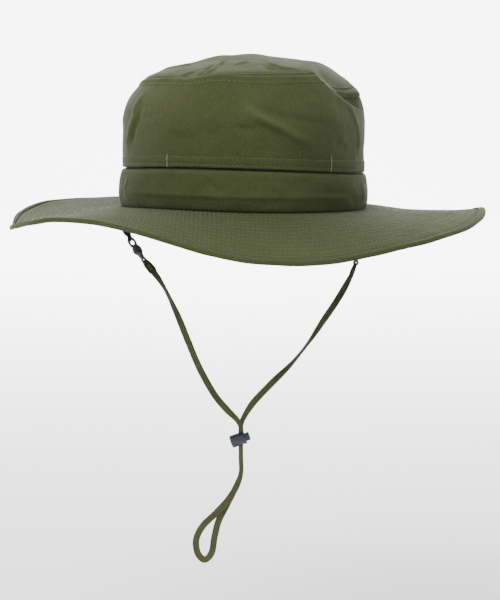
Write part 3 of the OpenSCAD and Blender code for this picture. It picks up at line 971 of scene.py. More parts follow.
def build_tip(h):
    """The tip: upper face, lower face and a rim; one closed disc."""
    steps = 480
    rhos = [1 - 0.0075 * i for i in range(14)]
    rest = rhos[-1]
    rhos += [rest * (1 - (i + 1) / 49) for i in range(48)]
    verts = []
    uvs = []
    wear_and_shading = []
    for lift in (0.0, -0.0010):
        for rho in rhos:
            for i in range(steps):
                a = TURN * i / steps
                verts.append(tip_shape(h, a, rho, lift))
                level = h.crown_h + h.c.tip_dome * (1 - rho * rho) ** TIP_POWER
                x = h.tip_half_w * rho * math.cos(a)
                # Painted shade on the pushed-in shoulder and in the seam's crevice; lighter along the seam's
                # edge and on raised folds, as wear with painted highlights.
                shade = h.dent_painted_shade(Vector((x, 0.0866 * rho * math.sin(a), level)))
                uvs.append((0.3 + 0.069 * rho * math.cos(a), 0.087 * rho * math.sin(a)))
                fold = fold_height(math.degrees(a), rho, TIP_FOLDS, 0.012)
                seam = smooth((1 - rho) / 0.008)
                faded_and_lit = 0.3 + 0.2 * bell((1 - rho) / 0.03) + 200 * max(0.0, fold)
                wear_and_shading.append(shade * seam * min(1.0, faded_and_lit))
        verts.append(tip_shape(h, 0.0, 0.0, lift))
        uvs.append((0.3, 0.0))
        wear_and_shading.append(0.3)
    rings = len(rhos)
    block = rings * steps + 1
    faces = []
    for side in (0, 1):
        base = side * block
        for k in range(rings - 1):
            for i in range(steps):
                i2 = (i + 1) % steps
                quad = (
                    base + k * steps + i,
                    base + k * steps + i2,
                    base + (k + 1) * steps + i2,
                    base + (k + 1) * steps + i,
                )
                faces.append(quad if side == 0 else tuple(reversed(quad)))
        for i in range(steps):
            i2 = (i + 1) % steps
            fan = (base + (rings - 1) * steps + i, base + (rings - 1) * steps + i2, base + block - 1)
            faces.append(fan if side == 0 else tuple(reversed(fan)))
    for i in range(steps):
        i2 = (i + 1) % steps
        faces.append((i2, i, block + i, block + i2))
    obj = mesh_object("tip", verts, faces, uvs, wear_and_shading)
    point_outwards(obj)
    finish_piece(obj, "hat", "olive_cloth", finish("crown_cloth"), "crown_tip")
    return obj


def inner_ring(h, name, outline, body_slot, material, node, steps=240):
    """A plain ring inside the crown from an outline of (half width, height) pairs."""

    def section(a):
        arc = a * 0.09
        points = [h.crown_point(a, r + 0.0003 * soft_noise(arc, z, 71, 0.02), z) for r, z in outline]
        return points, [(arc, z + r) for r, z in outline], [0.3] * len(outline)

    obj = ring_solid(name, section, full_angles(steps), True)
    finish_piece(obj, "hat", body_slot, material, node)
    return obj


def finer(outline, size):
    """The outline with points added so that no edge is longer than size."""
    out = []
    for (r0, z0), (r1, z1) in zip(outline, outline[1:] + outline[:1]):
        count = max(1, math.ceil(math.hypot(r1 - r0, z1 - z0) / size))
        out += [(r0 + (r1 - r0) * i / count, z0 + (z1 - z0) * i / count) for i in range(count)]
    return out


def build_lining(h):
    """Sweatband, tape over the tip seam and the two mesh strips."""
    outer = [(0.0851, 0.0002), (0.0852, 0.010), (0.0842, 0.018), (0.0805, 0.026), (0.0804, 0.031)]
    inner = [(r - 0.0009, z) for r, z in reversed(outer)]
    band = inner_ring(
        h, "sweatband_cloth", finer(outer + inner, 0.0025), "sweatband", finish("lining"), "sweatband"
    )
    levels = (0.0868, 0.0898, 0.0927, 0.0955)
    outer = [(h.side_r(z) - 0.0016, z) for z in levels]
    inner = [(r - 0.0007, z) for r, z in reversed(outer)]
    tape = inner_ring(
        h, "seam_tape", finer(outer + inner, 0.0015), "olive_cloth", finish("lining"), "tip_seam_tape"
    )
    for v in tape.data.vertices:
        v.co = h.dented(v.co)
    wall = [(0.0805, 0.033 + 0.0017 * i) for i in range(11)]
    both = wall + [(r - 0.0006, z) for r, z in reversed(wall)]

    def strip(a):
        points = [h.crown_point(a, r, z) for r, z in both]
        return points, [(a * 0.09, z) for r, z in both], [0.3] * len(both)

    return [band, tape] + build_halves("vent_strip", "vent_mesh", strip, 200, "mesh", finish("knit"))


# --------------------------------------------------------------------------------------------------
# Brim
# --------------------------------------------------------------------------------------------------

ROW_START = 0.0032
ROW_COUNT = 13


def quilt(w, pitch):
    """Height of the padded cloth at distance w from the seam: stitch rows are pressed in."""
    if w < 0:
        return 0.0
    k = round((w - ROW_START) / pitch)
    k = min(ROW_COUNT - 1, max(0, k))
    off = w - ROW_START - k * pitch
    return groove(off, 0.00075, 0.00020)


def brim_widths(h, fine):
    """Distances from the seam at which the brim's layers have points."""
    if not fine:
        return [-SEAM_ALLOWANCE + (h.width + SEAM_ALLOWANCE) * i / 20 for i in range(21)]
    pitch = h.b.row_pitch
    stops = [-SEAM_ALLOWANCE, -0.0010, 0.0]
    for k in range(ROW_COUNT):
        centre = ROW_START + k * pitch
        stops += [centre - 0.0016, centre - 0.0007, centre, centre + 0.0007, centre + 0.0016]
    stops += [h.width - x for x in (0.0056, 0.0050, 0.0045, 0.0042, 0.0038, 0.0030, 0.0014, 0.0)]
    return sorted(stops)


def brim_layer(h, name, steps, top, thick, upper, lower):
    """One layer of the brim; upper and lower say whether that face is quilted."""
    pitch = h.b.row_pitch
    widths = brim_widths(h, upper or lower)

    def section(a):
        at = h.brim_frame(a)
        degrees = math.degrees(a)
        up = []
        down = []
        for w in widths:
            dip = quilt(w, pitch)
            if w > h.width - h.b.binding_w - 0.0016:
                dip += groove(w - h.width + h.b.binding_w, 0.0009, 0.0008)
            ripple = 0.00007 * pucker(degrees * 1.3, 0.0046, 81 + round(w / pitch))
            up.append(h.brim_point(at, a, w, top + ((dip + ripple) if upper else 0.0)))
            down.append(h.brim_point(at, a, w, top - thick - (dip if lower else 0.0)))
        up.reverse()
        arc = a * 0.125
        uvs = [(arc, w) for w in reversed(widths)] + [(arc, w) for w in widths]
        # Lighter towards the edge and a little darker in the stitch grooves as painted shade; painted shade
        # at the seam and along the binding's lap.
        edge = [min(1.0, 0.35 + 0.35 * smooth(w / h.width) + 500 * quilt(w, pitch)) for w in widths]
        lap = h.width - h.b.binding_w - 0.0010
        shade = [smooth((w - 0.0006) / 0.0012) * smooth((lap - w) / 0.0005) for w in widths]
        wear_and_shading = [e * k for e, k in zip(reversed(edge), reversed(shade))] + [0.25] * len(widths)
        return up + down, uvs, wear_and_shading

    return ring_solid(name, section, full_angles(steps), True)


def build_brim(h):
    """Upper cloth, interlining, under cloth and the binding round the edge."""
    t = h.b.layer_t
    gap = 0.0001
    top = brim_layer(h, "brim_cloth_top", 620, -gap, t, True, False)
    finish_piece(top, "hat", "olive_cloth", finish("brim_cloth"), "brim_top")
    mid = brim_layer(h, "brim_filling", 240, -gap - t - gap - 0.0003, t - 0.0004, False, False)
    finish_piece(mid, "hat", "interlining", finish("interlining"), "brim_interlining")
    low = brim_layer(h, "brim_cloth_under", 520, -gap - 2 * (t + gap), t, False, True)
    finish_piece(low, "hat", "olive_cloth_under", finish("brim_under_cloth"), "brim_under")
    return [top, mid, low, build_binding(h)]


def build_binding(h):
    """Folded cloth strip round the edge, with its stitch line pressed in."""
    lap = h.b.binding_w
    edge = h.width
    line = edge - lap + 0.0010

    def section(a):
        at = h.brim_frame(a)
        degrees = math.degrees(a)
        tuck = 0.00016 * pucker(degrees * 1.25, 0.0036, 91)
        profile = []
        for i in range(9):
            w = edge - lap + (lap + 0.0001) * i / 8
            lift = 0.00055 - 0.0004 * smooth((edge - lap + 0.0006 - w) / 0.0006)
            lift += groove(w - line, 0.0005, 0.00032) + tuck * bell((w - edge + lap * 0.5) / 0.0016)
            profile.append((w, lift))
        bottom = -3 * (h.b.layer_t + 0.0001) - 0.0001
        for i in range(1, 8):
            b = math.pi * i / 8
            middle = 0.5 * (0.00055 + bottom - 0.00050)
            half = 0.5 * (0.00055 - bottom + 0.00050)
            profile.append((edge + 0.0011 * math.sin(b), middle + half * math.cos(b)))
        for i in range(8, -1, -1):
            w = edge - lap + (lap + 0.0001) * i / 8
            profile.append((w, bottom - 0.00050 - groove(w - line, 0.0005, 0.0003)))
        inner = [(edge - lap, bottom), (edge, bottom), (edge + 0.0003, bottom * 0.5), (edge, 0.00004)]
        inner += [(edge - lap, 0.00004)]
        outline = profile + inner
        points = [h.brim_point(at, a, w, dz) for w, dz in outline]
        run = 0.0
        uvs = []
        before = outline[0]
        for q in outline:
            run += math.hypot(q[0] - before[0], q[1] - before[1])
            before = q
            uvs.append((0.1 + run, a * 0.175))
        wear_and_shading = [0.22 + 0.25 * bell((i - 8) / 2.5) for i in range(len(outline))]
        return points, uvs, [min(1.0, x) for x in wear_and_shading]

    obj = ring_solid("brim_edge_binding", section, full_angles(620), True)
    finish_piece(obj, "hat", "olive_cloth", finish("binding_cloth"), "brim_binding")
    return obj


# --------------------------------------------------------------------------------------------------
# Stitch rows and bartacks
# --------------------------------------------------------------------------------------------------


def row_on(point, angles, step):
    """Row of (point, outward normal) over a surface that point(angle, across) gives."""
    here = [point(a, 0.0) for a in angles]
    beside = [point(a, step) for a in angles]
    row = []
    for i, p in enumerate(here):
        q = here[min(i + 1, len(here) - 1)]
        o = here[max(i - 1, 0)]
        row.append((p, (q - o).cross(beside[i] - p).normalized()))
    return row


def brim_row(h, w, dz, angles, downwards):
    """Stitch row on the brim at distance w from the seam."""
    frames = {a: h.brim_frame(a) for a in angles}

    def point(a, across):
        return h.brim_point(frames[a], a, w + across, dz)

    return row_on(point, angles, 0.001 if downwards else -0.001)


def build_stitching(h):
    """All the visible stitch rows, a piece for each place."""
    pitch = h.b.stitch
    loop = full_angles(620)
    loop.append(loop[0] + TURN)
    rows = [ROW_START + k * h.b.row_pitch for k in range(ROW_COUNT)]
    top = sew("brim_stitches_top", [brim_row(h, w, -0.00018, loop, False) for w in rows], pitch, 0.00019)
    finish_piece(top, "hat", "thread", finish("brim_thread"))
    under_z = -0.0001 - 3 * h.b.layer_t - 0.0002
    low = sew(
        "brim_stitches_under", [brim_row(h, w, under_z + 0.00012, loop, True) for w in rows], pitch, 0.00017
    )
    finish_piece(low, "hat", "thread", finish("brim_thread"))
    line = h.width - h.b.binding_w + 0.0010
    edge_z = (0.00042, -3 * h.b.layer_t - 0.0008)
    edge_rows = [brim_row(h, line, z, loop, z < 0) for z in edge_z]
    edge = sew("binding_stitches", edge_rows, 0.0027, 0.00018)
    finish_piece(edge, "hat", "thread", finish("crown_thread"))
    made = [top, low, edge]
    rows = []
    marks = [h.c.hem_z + line for line in HEM_LINES]
    marks += [h.crown_h - FELL_H, h.crown_h - 0.0009]
    for start in (0.0, math.pi):
        angles = half_angles(start, 330)
        for z in marks:

            def point(a, across, z=z):
                return side_surface(h, a, z + across, 0.00008)

            rows.append(row_on(point, angles, 0.0008))
    side = sew("crown_stitches", rows, 0.0031, 0.00017)
    finish_piece(side, "hat", "thread", finish("crown_thread"))
    mean = h.tip_half_w + 0.5 * h.extra

    def on_tip(a, across):
        return tip_shape(h, a, 1 - (0.0022 + across) / mean, 0.0001)

    tip = sew("tip_stitches", [row_on(on_tip, loop, 0.0008)], 0.0031, 0.00019)
    finish_piece(tip, "hat", "thread", finish("brim_thread"))

    def on_sweatband(a, across):
        return h.crown_point(a, 0.0793, 0.0286 + across)

    inside = sew("sweatband_stitches", [row_on(on_sweatband, loop, -0.0008)], 0.0032, 0.00017)
    finish_piece(inside, "hat", "thread", finish("brim_thread"))
    return made + [side, tip, inside]


# Directions of the bartacks, in degrees
BARTACKS = (233, 314, 52, 128)


def build_bartacks(h):
    """Close zigzag bars that hold the hem down, the second one with a loose thread end."""
    verts = []
    faces = []
    for index, degrees in enumerate(BARTACKS):
        a0 = math.radians(degrees)
        count = 34
        for i in range(count):
            z = h.c.hem_z + 0.0004 + 0.0094 * i / (count - 1)
            here = side_surface(h, a0, z, 0.0003)
            beside = side_surface(h, a0 + 0.004, z, 0.0003)
            above = side_surface(h, a0, z + 0.0006, 0.0003)
            side = (beside - here).normalized()
            rise = (above - here).normalized()
            out = side.cross(rise).normalized()
            lean = 0.35 if i % 2 else -0.35
            along = (side + rise * lean).normalized()
            add_stitch(verts, faces, here, along, out, 0.0009, 0.00016)
        if index == 1:
            out = Vector((math.cos(a0), math.sin(a0), 0))
            last = side_surface(h, a0, h.c.hem_z + 0.0102, 0.0004)
            for i in range(9):
                level = h.c.hem_z + 0.0102 + 0.00035 * i
                nearby = side_surface(h, a0 + 0.0045 * math.sin(i * 0.55), level, 0.0006)
                step = nearby - last
                if step.length > 1e-5:
                    middle = (nearby + last) / 2
                    add_stitch(verts, faces, middle, step.normalized(), out, step.length * 1.2, 0.00011)
                last = nearby
    obj = mesh_object("bartack_bars", verts, faces)
    finish_piece(obj, "hat", "thread", finish("bartack_thread"), "bartacks")
    return obj


# --------------------------------------------------------------------------------------------------
# Tapes
# --------------------------------------------------------------------------------------------------

# Route of the chin tape: place in metres and width as a part of the full width
STRAP_ROUTE = (
    (-0.069, 0, -0.038, 0.6), (-0.064, 0, -0.044, 1), (-0.056, 0, -0.056, 1), (-0.047, 0, -0.075, 1),
    (-0.039, 0, -0.095, 1), (-0.031, 0, -0.114, 1), (-0.021, 0, -0.132, 1), (-0.012, -0.0004, -0.143, 1),
    (-0.005, -0.0008, -0.150, 0.8), (-0.002, -0.0008, -0.156, 0.7), (-0.002, -0.0008, -0.166, 0.7),
    (-0.002, -0.0008, -0.178, 0.7), (-0.002, -0.0008, -0.189, 0.7), (-0.005, -0.0009, -0.198, 0.9),
    (-0.011, -0.001, -0.208, 1), (-0.020, -0.0008, -0.218, 1), (-0.029, -0.0004, -0.227, 1),
    (-0.034, 0, -0.237, 1), (-0.033, 0, -0.247, 1), (-0.028, 0, -0.252, 1), (-0.023, 0, -0.247, 1),
    (-0.021, 0.0004, -0.236, 1), (-0.018, 0.0008, -0.224, 1), (-0.012, 0.001, -0.212, 1),
    (-0.006, 0.0009, -0.200, 0.9), (-0.002, 0.0008, -0.189, 0.7), (-0.002, 0.0008, -0.178, 0.7),
    (-0.002, 0.0008, -0.166, 0.7), (-0.002, 0.0008, -0.156, 0.7), (0, 0.0008, -0.149, 0.8),
    (0.007, 0.0004, -0.138, 1), (0.020, 0, -0.124, 1), (0.034, 0, -0.110, 1), (0.046, 0, -0.095, 1),
    (0.056, 0, -0.080, 1), (0.066, 0, -0.065, 1), (0.074, 0, -0.051, 1), (0.0785, 0, -0.0405, 0.6),
)

# Centres of the hooks' eyes
LEFT_EYE = Vector((0.0793, 0, -0.038))
RIGHT_EYE = Vector((-0.0705, 0, -0.036))

# Places where the tape is turned on its edge: the route point, how many points it takes and the angle
STRAP_TWISTS = ((2.15, 0.95, 1.05), (33.0, 1.5, -1.32), (36.6, 1.0, 0.95), (10.5, 1.2, 0.8))


def spline(points, s):
    """Catmull-Rom point at parameter s along a list of tuples."""
    last = len(points) - 1
    i = min(last - 1, max(0, math.floor(s)))
    t = s - i
    before = points[max(0, i - 1)]
    p = points[i]
    q = points[i + 1]
    after = points[min(last, i + 2)]
    return [
        0.5 * ((2 * b) + (c - a) * t + (2 * a - 5 * b + 4 * c - d) * t * t + (3 * b - a - 3 * c + d) * t**3)
        for a, b, c, d in zip(before, p, q, after)
    ]


def ribbon(name, path, sides, widths, thickness):
    """Flat tape with rounded edges along a path; sides are its width directions."""
    rows = []
    uv_rows = []
    run = 0.0
    for i, p in enumerate(path):
        ahead = path[min(i + 1, len(path) - 1)]
        behind = path[max(i - 1, 0)]
        run += (p - path[max(i - 1, 0)]).length
        tangent = (ahead - behind).normalized()
        side = (sides[i] - tangent * sides[i].dot(tangent)).normalized()
        face = side.cross(tangent).normalized()
        half_w = widths[i] / 2
        half_t = thickness / 2
        outline = []
        for x, y in TAPE_OUTLINE:
            outline.append(p + side * (half_w * x) + face * (half_t * y))
        rows.append(outline)
        uv_rows.append([(q * 0.0025, run) for q in TAPE_SPREAD])
    return swept(name, rows, False, uv_rows)


TAPE_OUTLINE = (
    (-0.97, 0.35), (-0.90, 0.92), (-0.70, 1.0), (-0.35, 1.03), (0.0, 1.0), (0.35, 1.03), (0.70, 1.0),
    (0.90, 0.92), (0.97, 0.35), (0.97, -0.35), (0.90, -0.92), (0.70, -1.0), (0.35, -1.03), (0.0, -1.0),
    (-0.35, -1.03), (-0.70, -1.0), (-0.90, -0.92), (-0.97, -0.35),
)
TAPE_SPREAD = tuple(x for x, y in TAPE_OUTLINE)


def strap_line(step):
    """Centre line of the chin tape and its width at each point."""
    last = len(STRAP_ROUTE) - 1
    count = round(last / step)
    samples = [spline(STRAP_ROUTE, last * i / count) for i in range(count + 1)]
    places = [last * i / count for i in range(count + 1)]
    return [Vector(s[:3]) for s in samples], [s[3] for s in samples], places


def line_length(points):
    return sum((q - p).length for p, q in zip(points, points[1:]))


def tape_sides(path, places):
    """Width directions of the chin tape: flat to the front, but for its turned places and a slight roll."""
    sides = []
    for i, s in enumerate(places):
        tangent = (path[min(i + 1, len(path) - 1)] - path[max(i - 1, 0)]).normalized()
        flat = tangent.cross(Vector((0, 1, 0))).normalized()
        roll = 0.0
        for centre, spread, turn in STRAP_TWISTS:
            roll += turn * bell((s - centre) / spread)
        free = smooth((s - 3) / 1.5) * (1 - smooth((s - 6.5) / 1.5))
        free += smooth((s - 29.5) / 1.5) * smooth((36.4 - s) / 2)
        roll += free * 0.28 * math.sin(1.7 * s + 0.6)
        roll += 0.35 * bell((s - 18.8) / 1.2) * math.sin(2 * s)
        sides.append(Matrix.Rotation(roll, 3, tangent) @ flat)
    return sides


def build_chin_tape(scene):
    """The chin tape, from one hook's eye to the other's."""
    sizes = scene.hat_strap
    path, share, places = strap_line(1 / 14)
    sides = tape_sides(path, places)
    widths = [sizes.tape_w * min(1.0, f) for f in share]
    obj = ribbon("chin_tape", path, sides, widths, sizes.tape_t)
    finish_piece(obj, "strap", "olive_tape", finish("tape"), "chin_strap")
    round(line_length(path), 3)
    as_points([tuple(p) for p in path[::3]] + [tuple(path[-1])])
    return obj


def build_tape_ends(scene):
    """The tape's two ends, folded through the hooks' eyes and sewn down."""
    sizes = scene.hat_strap
    path = strap_line(1 / 14)[0]
    made = []
    ends = (("tape_end_right", path[:20], RIGHT_EYE, 1.2),)
    ends += (("tape_end_left", list(reversed(path[-20:])), LEFT_EYE, 0.7),)
    for name, line, eye, share in ends:
        away = (line[6] - eye).normalized()
        side = away.cross(Vector((0, 1, 0))).normalized()
        bottom = eye + away * 0.0002
        front = Vector((0, -1, 0))
        lift = sizes.tape_t / 2 + 0.0004
        loop = []
        for i in range(13, 1, -1):
            loop.append(bottom + away * (0.0008 * i) + front * lift)
        for i in range(9):
            b = math.pi * i / 8
            across = front * ((lift + 0.0005) * math.cos(b))
            loop.append(bottom + away * (0.0012 - 0.0011 * math.sin(b)) + across)
        for i in range(2, 13):
            loop.append(bottom + away * (0.0008 * i) - front * lift)
        count = len(loop)
        widths = []
        for i in range(count):
            near_eye = bell((i - count / 2) / 6.0)
            widths.append(sizes.tape_w * share * (1 - 0.45 * near_eye))
        obj = ribbon(name, loop, [side] * count, widths, 0.0008)
        finish_piece(obj, "strap", "olive_tape", finish("tape"))
        made.append(obj)
        stitch_v = []
        stitch_f = []
        for face in (front, -front):
            for k in range(5):
                for lean in (1, -1):
                    centre = bottom + away * (0.0045 + 0.0010 * k) + face * (lift + 0.00042)
                    along = (side * 1.0 + away * 0.55 * lean).normalized()
                    add_stitch(stitch_v, stitch_f, centre, along, face, 0.0028, 0.00012)
        seam = mesh_object(name + "_stitches", stitch_v, stitch_f)
        finish_piece(seam, "strap", "thread", finish("tape_thread"))
        made.append(seam)
    return made


def build_tabs(scene):
    """Webbing tabs that come out under the brim, narrow and loop round the hooks' rings."""
    sizes = scene.hat_strap
    made = []
    shape = HatShape(scene)
    for name, side in (("strap_tab_left", 1), ("strap_tab_right", -1)):
        top = shape.seam_rise(0.0 if side > 0 else math.pi) - 3 * (scene.hat_brim.layer_t + 0.0001) - 0.0001
        across = Vector((side, 0, 0))
        ring = Vector((side * sizes.ring_x, 0, sizes.swing_z))
        radius = 0.00165
        levels = (
            (0.0850, top, 0.0062),
            (0.0848, -0.0060, 0.0062),
            (0.0841, -0.0110, 0.0062),
            (0.0830, -0.0148, 0.0058),
            (0.0817, -0.0174, 0.0044),
            (0.0807, -0.0192, 0.0029),
        )
        down = []
        for i in range(21):
            x, z, w = spline(levels, 5 * i / 20)
            pinch = smooth((-0.0145 - z) / 0.005)
            down.append((side * x, -0.0006 - (radius - 0.0006) * pinch, z, w))
        loop = list(down)
        for i in range(1, 12):
            b = math.pi * i / 12
            loop.append((ring.x, -radius * math.cos(b), ring.z - radius * math.sin(b), 0.0027))
        loop += [(x, -y, z, w) for x, y, z, w in reversed(down)]
        path = [Vector(p[:3]) for p in loop]
        obj = ribbon(name + "_webbing", path, [across] * len(path), [p[3] for p in loop], 0.0008)
        finish_piece(obj, "hat", "black_webbing", finish("webbing"), name)
        made.append(obj)
        verts = []
        faces = []
        for y in (-1, 1):
            for k in range(6):
                centre = Vector((side * 0.0845, y * 0.00105, -0.0075 - 0.00055 * k))
                lean = 0.4 if k % 2 else -0.4
                along = Vector((1, 0, lean)).normalized()
                add_stitch(verts, faces, centre, along, Vector((0, y, 0)), 0.0042, 0.00014)
        seam = mesh_object(name + "_stitches", verts, faces)
        finish_piece(seam, "hat", "black_webbing", finish("webbing_thread"))
        made.append(seam)
    return made


# --------------------------------------------------------------------------------------------------
# Moulded fittings
# --------------------------------------------------------------------------------------------------


def only(obj):
    """Makes obj the one selected and active object."""
    bpy.ops.object.select_all(action="DESELECT")
    obj.select_set(True)
    bpy.context.view_layer.objects.active = obj


def joined(parts, name):
    """One object from several, with its own name and its place in its points."""
    bpy.ops.object.select_all(action="DESELECT")
    for part in parts:
        part.select_set(True)
    bpy.context.view_layer.objects.active = parts[0]
    if len(parts) > 1:
        bpy.ops.object.join()
    obj = bpy.context.view_layer.objects.active
    bpy.ops.object.transform_apply(location=True, rotation=True, scale=True)
    obj.name = name
    obj.data.name = name
    return obj


def primitive(call, **settings):
    """A new primitive with its transform applied."""
    bpy.ops.object.select_all(action="DESELECT")
    call(**settings)
    bpy.ops.object.transform_apply(location=True, rotation=True, scale=True)
    return bpy.context.view_layer.objects.active


def apply_modifiers(obj):
    only(obj)
    for modifier in list(obj.modifiers):
        bpy.ops.object.modifier_apply(modifier=modifier.name)


def carve(obj, cutter):
    """Takes the cutter's shape out of obj."""
    cut = obj.modifiers.new("cut", "BOOLEAN")
    cut.operation = "DIFFERENCE"
    cut.solver = "EXACT"
    cut.object = cutter
    apply_modifiers(obj)
    bpy.data.objects.remove(cutter, do_unlink=True)


def mould(obj, grain, rounds):
    """Fuses obj's parts into one skin with soft edges."""
    skin = obj.modifiers.new("skin", "REMESH")
    skin.mode = "VOXEL"
    skin.voxel_size = grain
    skin.use_smooth_shade = True
    soften = obj.modifiers.new("soften", "SMOOTH")
    soften.factor = 0.5
    soften.iterations = rounds
    apply_modifiers(obj)
    only(obj)
    bpy.ops.object.shade_smooth()


def rod(start, end, r1, r2, bevel):
    """A tapered rod between two points with rounded ends."""
    run = end - start
    turn = run.to_track_quat("Z", "Y").to_euler()
    obj = primitive(
        bpy.ops.mesh.primitive_cone_add,
        vertices=48,
        radius1=r1,
        radius2=r2,
        depth=run.length,
        location=(start + end) / 2,
        rotation=turn,
    )
    bpy.ops.object.mode_set(mode="EDIT")
    bpy.ops.mesh.select_all(action="DESELECT")
    bpy.ops.mesh.select_mode(type="FACE")
    bpy.ops.mesh.select_face_by_sides(number=4, type="GREATER")
    bpy.ops.mesh.select_mode(type="EDGE")
    bpy.ops.mesh.region_to_loop()
    bpy.ops.mesh.bevel(offset=bevel, segments=4, affect="EDGES")
    bpy.ops.object.mode_set(mode="OBJECT")
    return obj


def torus(centre, major, minor):
    """A ring that faces the front."""
    return primitive(
        bpy.ops.mesh.primitive_torus_add,
        location=centre,
        rotation=(math.pi / 2, 0, 0),
        major_segments=64,
        minor_segments=24,
        major_radius=major,
        minor_radius=minor,
    )


def placed(obj, scale, turn, place):
    """Scales, turns and moves a new part, and puts that into its points."""
    obj.scale = scale
    only(obj)
    bpy.ops.object.transform_apply(location=False, rotation=False, scale=True)
    obj.rotation_euler = turn
    obj.location = place
    bpy.ops.object.transform_apply(location=True, rotation=True, scale=True)
    return obj


def ball(radius, scale, turn, place):
    """An egg-shaped part."""
    obj = primitive(bpy.ops.mesh.primitive_uv_sphere_add, segments=48, ring_count=24, radius=radius)
    return placed(obj, scale, turn, place)


def fuse(obj, grain):
    """Turns overlapping parts into one closed skin."""
    skin = obj.modifiers.new("fuse", "REMESH")
    skin.mode = "VOXEL"
    skin.voxel_size = grain
    apply_modifiers(obj)


def build_hooks(scene):
    """Two moulded fittings: a ring above, a swollen shank and an eye for the tape."""
    sizes = scene.hat_strap
    made = []
    for name, side, end in (("strap_hook_left", 1, LEFT_EYE), ("strap_hook_right", -1, RIGHT_EYE)):
        top = Vector((side * sizes.ring_x, 0, sizes.swing_z))
        run = (end - top).normalized()
        lean = (0, math.atan2(-run.x, -run.z), 0)
        ring = torus(Vector((0, 0, 0)), 0.0024, 0.0011)
        placed(ring, (0.82, 0.9, 1.38), lean, top + run * 0.0033)
        blade = ball(0.001, (3.4, 1.25, 4.4), lean, top + run * 0.0098)
        neck = rod(top + run * 0.0108, end - run * 0.0008, 0.0024, 0.0015, 0.0004)
        eye = torus(Vector((0, 0, 0)), 0.0013, 0.00088)
        placed(eye, (1, 1, 1), (0, 0, 0), end)
        obj = joined([ring, blade, neck, eye], name + "_moulding")
        fuse(obj, 0.00017)
        carve(obj, ball(0.001, (0.55, 0.7, 0.75), lean, top + run * 0.0088 - Vector((0, 0.0012, 0))))
        mould(obj, 0.00016, 3)
        finish_piece(obj, "strap", "black_plastic", finish("plastic"), name)
        made.append(obj)
    return made


LOCK_PLACE = Vector((-0.002, 0, -0.164))
LOCK_TURN = (0, math.radians(70), 0)


def on_barrel(along):
    """Place at a distance along the barrel's axis."""
    return LOCK_PLACE + Vector((math.cos(math.radians(20)), 0, math.sin(math.radians(20)))) * along


def barrel_part(radius, start, end, bevels):
    """A cylinder along the barrel's axis, with its two rims bevelled."""
    obj = primitive(
        bpy.ops.mesh.primitive_cylinder_add,
        vertices=72,
        radius=radius,
        depth=end - start,
        location=on_barrel((start + end) / 2),
        rotation=LOCK_TURN,
    )
    if bevels:
        bpy.ops.object.mode_set(mode="EDIT")
        bpy.ops.mesh.select_mode(type="FACE")
        bpy.ops.mesh.select_all(action="DESELECT")
        bpy.ops.mesh.select_face_by_sides(number=4, type="GREATER")
        bpy.ops.mesh.select_mode(type="EDGE")
        bpy.ops.mesh.region_to_loop()
        bpy.ops.mesh.bevel(offset=bevels, segments=5, affect="EDGES")
        bpy.ops.object.mode_set(mode="OBJECT")
    return obj


def slot_cutter(extra):
    """The tape's passage through the lock, upright, longer to one side by the button's travel."""
    return primitive(
        bpy.ops.mesh.primitive_cube_add,
        size=1,
        scale=(0.0042 + extra, 0.0036, 0.03),
        location=LOCK_PLACE + Vector((extra / 2, 0, 0)),
    )


def build_lock():
    """Cord lock: a barrel with a closed end, and the button that slides in it."""
    body = barrel_part(0.0046, -0.0076, 0.0036, 0.0011)
    collar = barrel_part(0.00475, 0.0016, 0.0034, 0.0004)
    body = joined([body, collar], "cord_lock_barrel")
    fuse(body, 0.00016)
    carve(body, barrel_part(0.0033, -0.0066, 0.02, 0))
    carve(body, slot_cutter(0.0))
    mould(body, 0.00015, 3)
    finish_piece(body, "lock", "black_plastic", finish("lock_plastic"), "cord_lock_body")
    button = barrel_part(0.00315, -0.0034, 0.0066, 0.0007)
    carve(button, slot_cutter(0.002))
    dish = primitive(
        bpy.ops.mesh.primitive_uv_sphere_add,
        segments=48,
        ring_count=24,
        radius=0.006,
        location=on_barrel(0.0066 + 0.0055),
    )
    carve(button, dish)
    mould(button, 0.00014, 3)
    button.name = "cord_lock_button"
    finish_piece(button, "lock_button", "black_plastic", finish("lock_plastic"), "cord_lock_plunger")
    return [body, button]


# --------------------------------------------------------------------------------------------------
# Stage
# --------------------------------------------------------------------------------------------------


def aim(obj, at):
    """Turns a camera or a light so that it looks at a place."""
    obj.rotation_euler = (Vector(at) - obj.location).to_track_quat("-Z", "Y").to_euler()


def area_light(name, place, at, size, watts, colour):
    light = bpy.data.lights.new(name, "AREA")
    light.shape = "RECTANGLE"
    light.size, light.size_y = size
    light.energy = watts
    light.color = colour
    obj = bpy.data.objects.new(name, light)
    bpy.context.scene.collection.objects.link(obj)
    obj.location = place
    aim(obj, at)
    return obj


def build_camera(scene):
    """A long lens in front, a little above the hat."""
    s = scene.hat_stage
    data = bpy.data.cameras.new("hat_camera")
    camera = bpy.data.objects.new("hat_camera", data)
    scene.collection.objects.link(camera)
    camera.location = (s.aim_x, -s.camera_distance, s.camera_height)
    target = (s.aim_x, 0.0, s.aim_z)
    aim(camera, target)
    distance = (Vector(target) - camera.location).length
    data.sensor_width = 36
    data.lens = 36 * distance / s.view_h
    data.clip_start = 0.01
    scene.camera = camera
    return camera


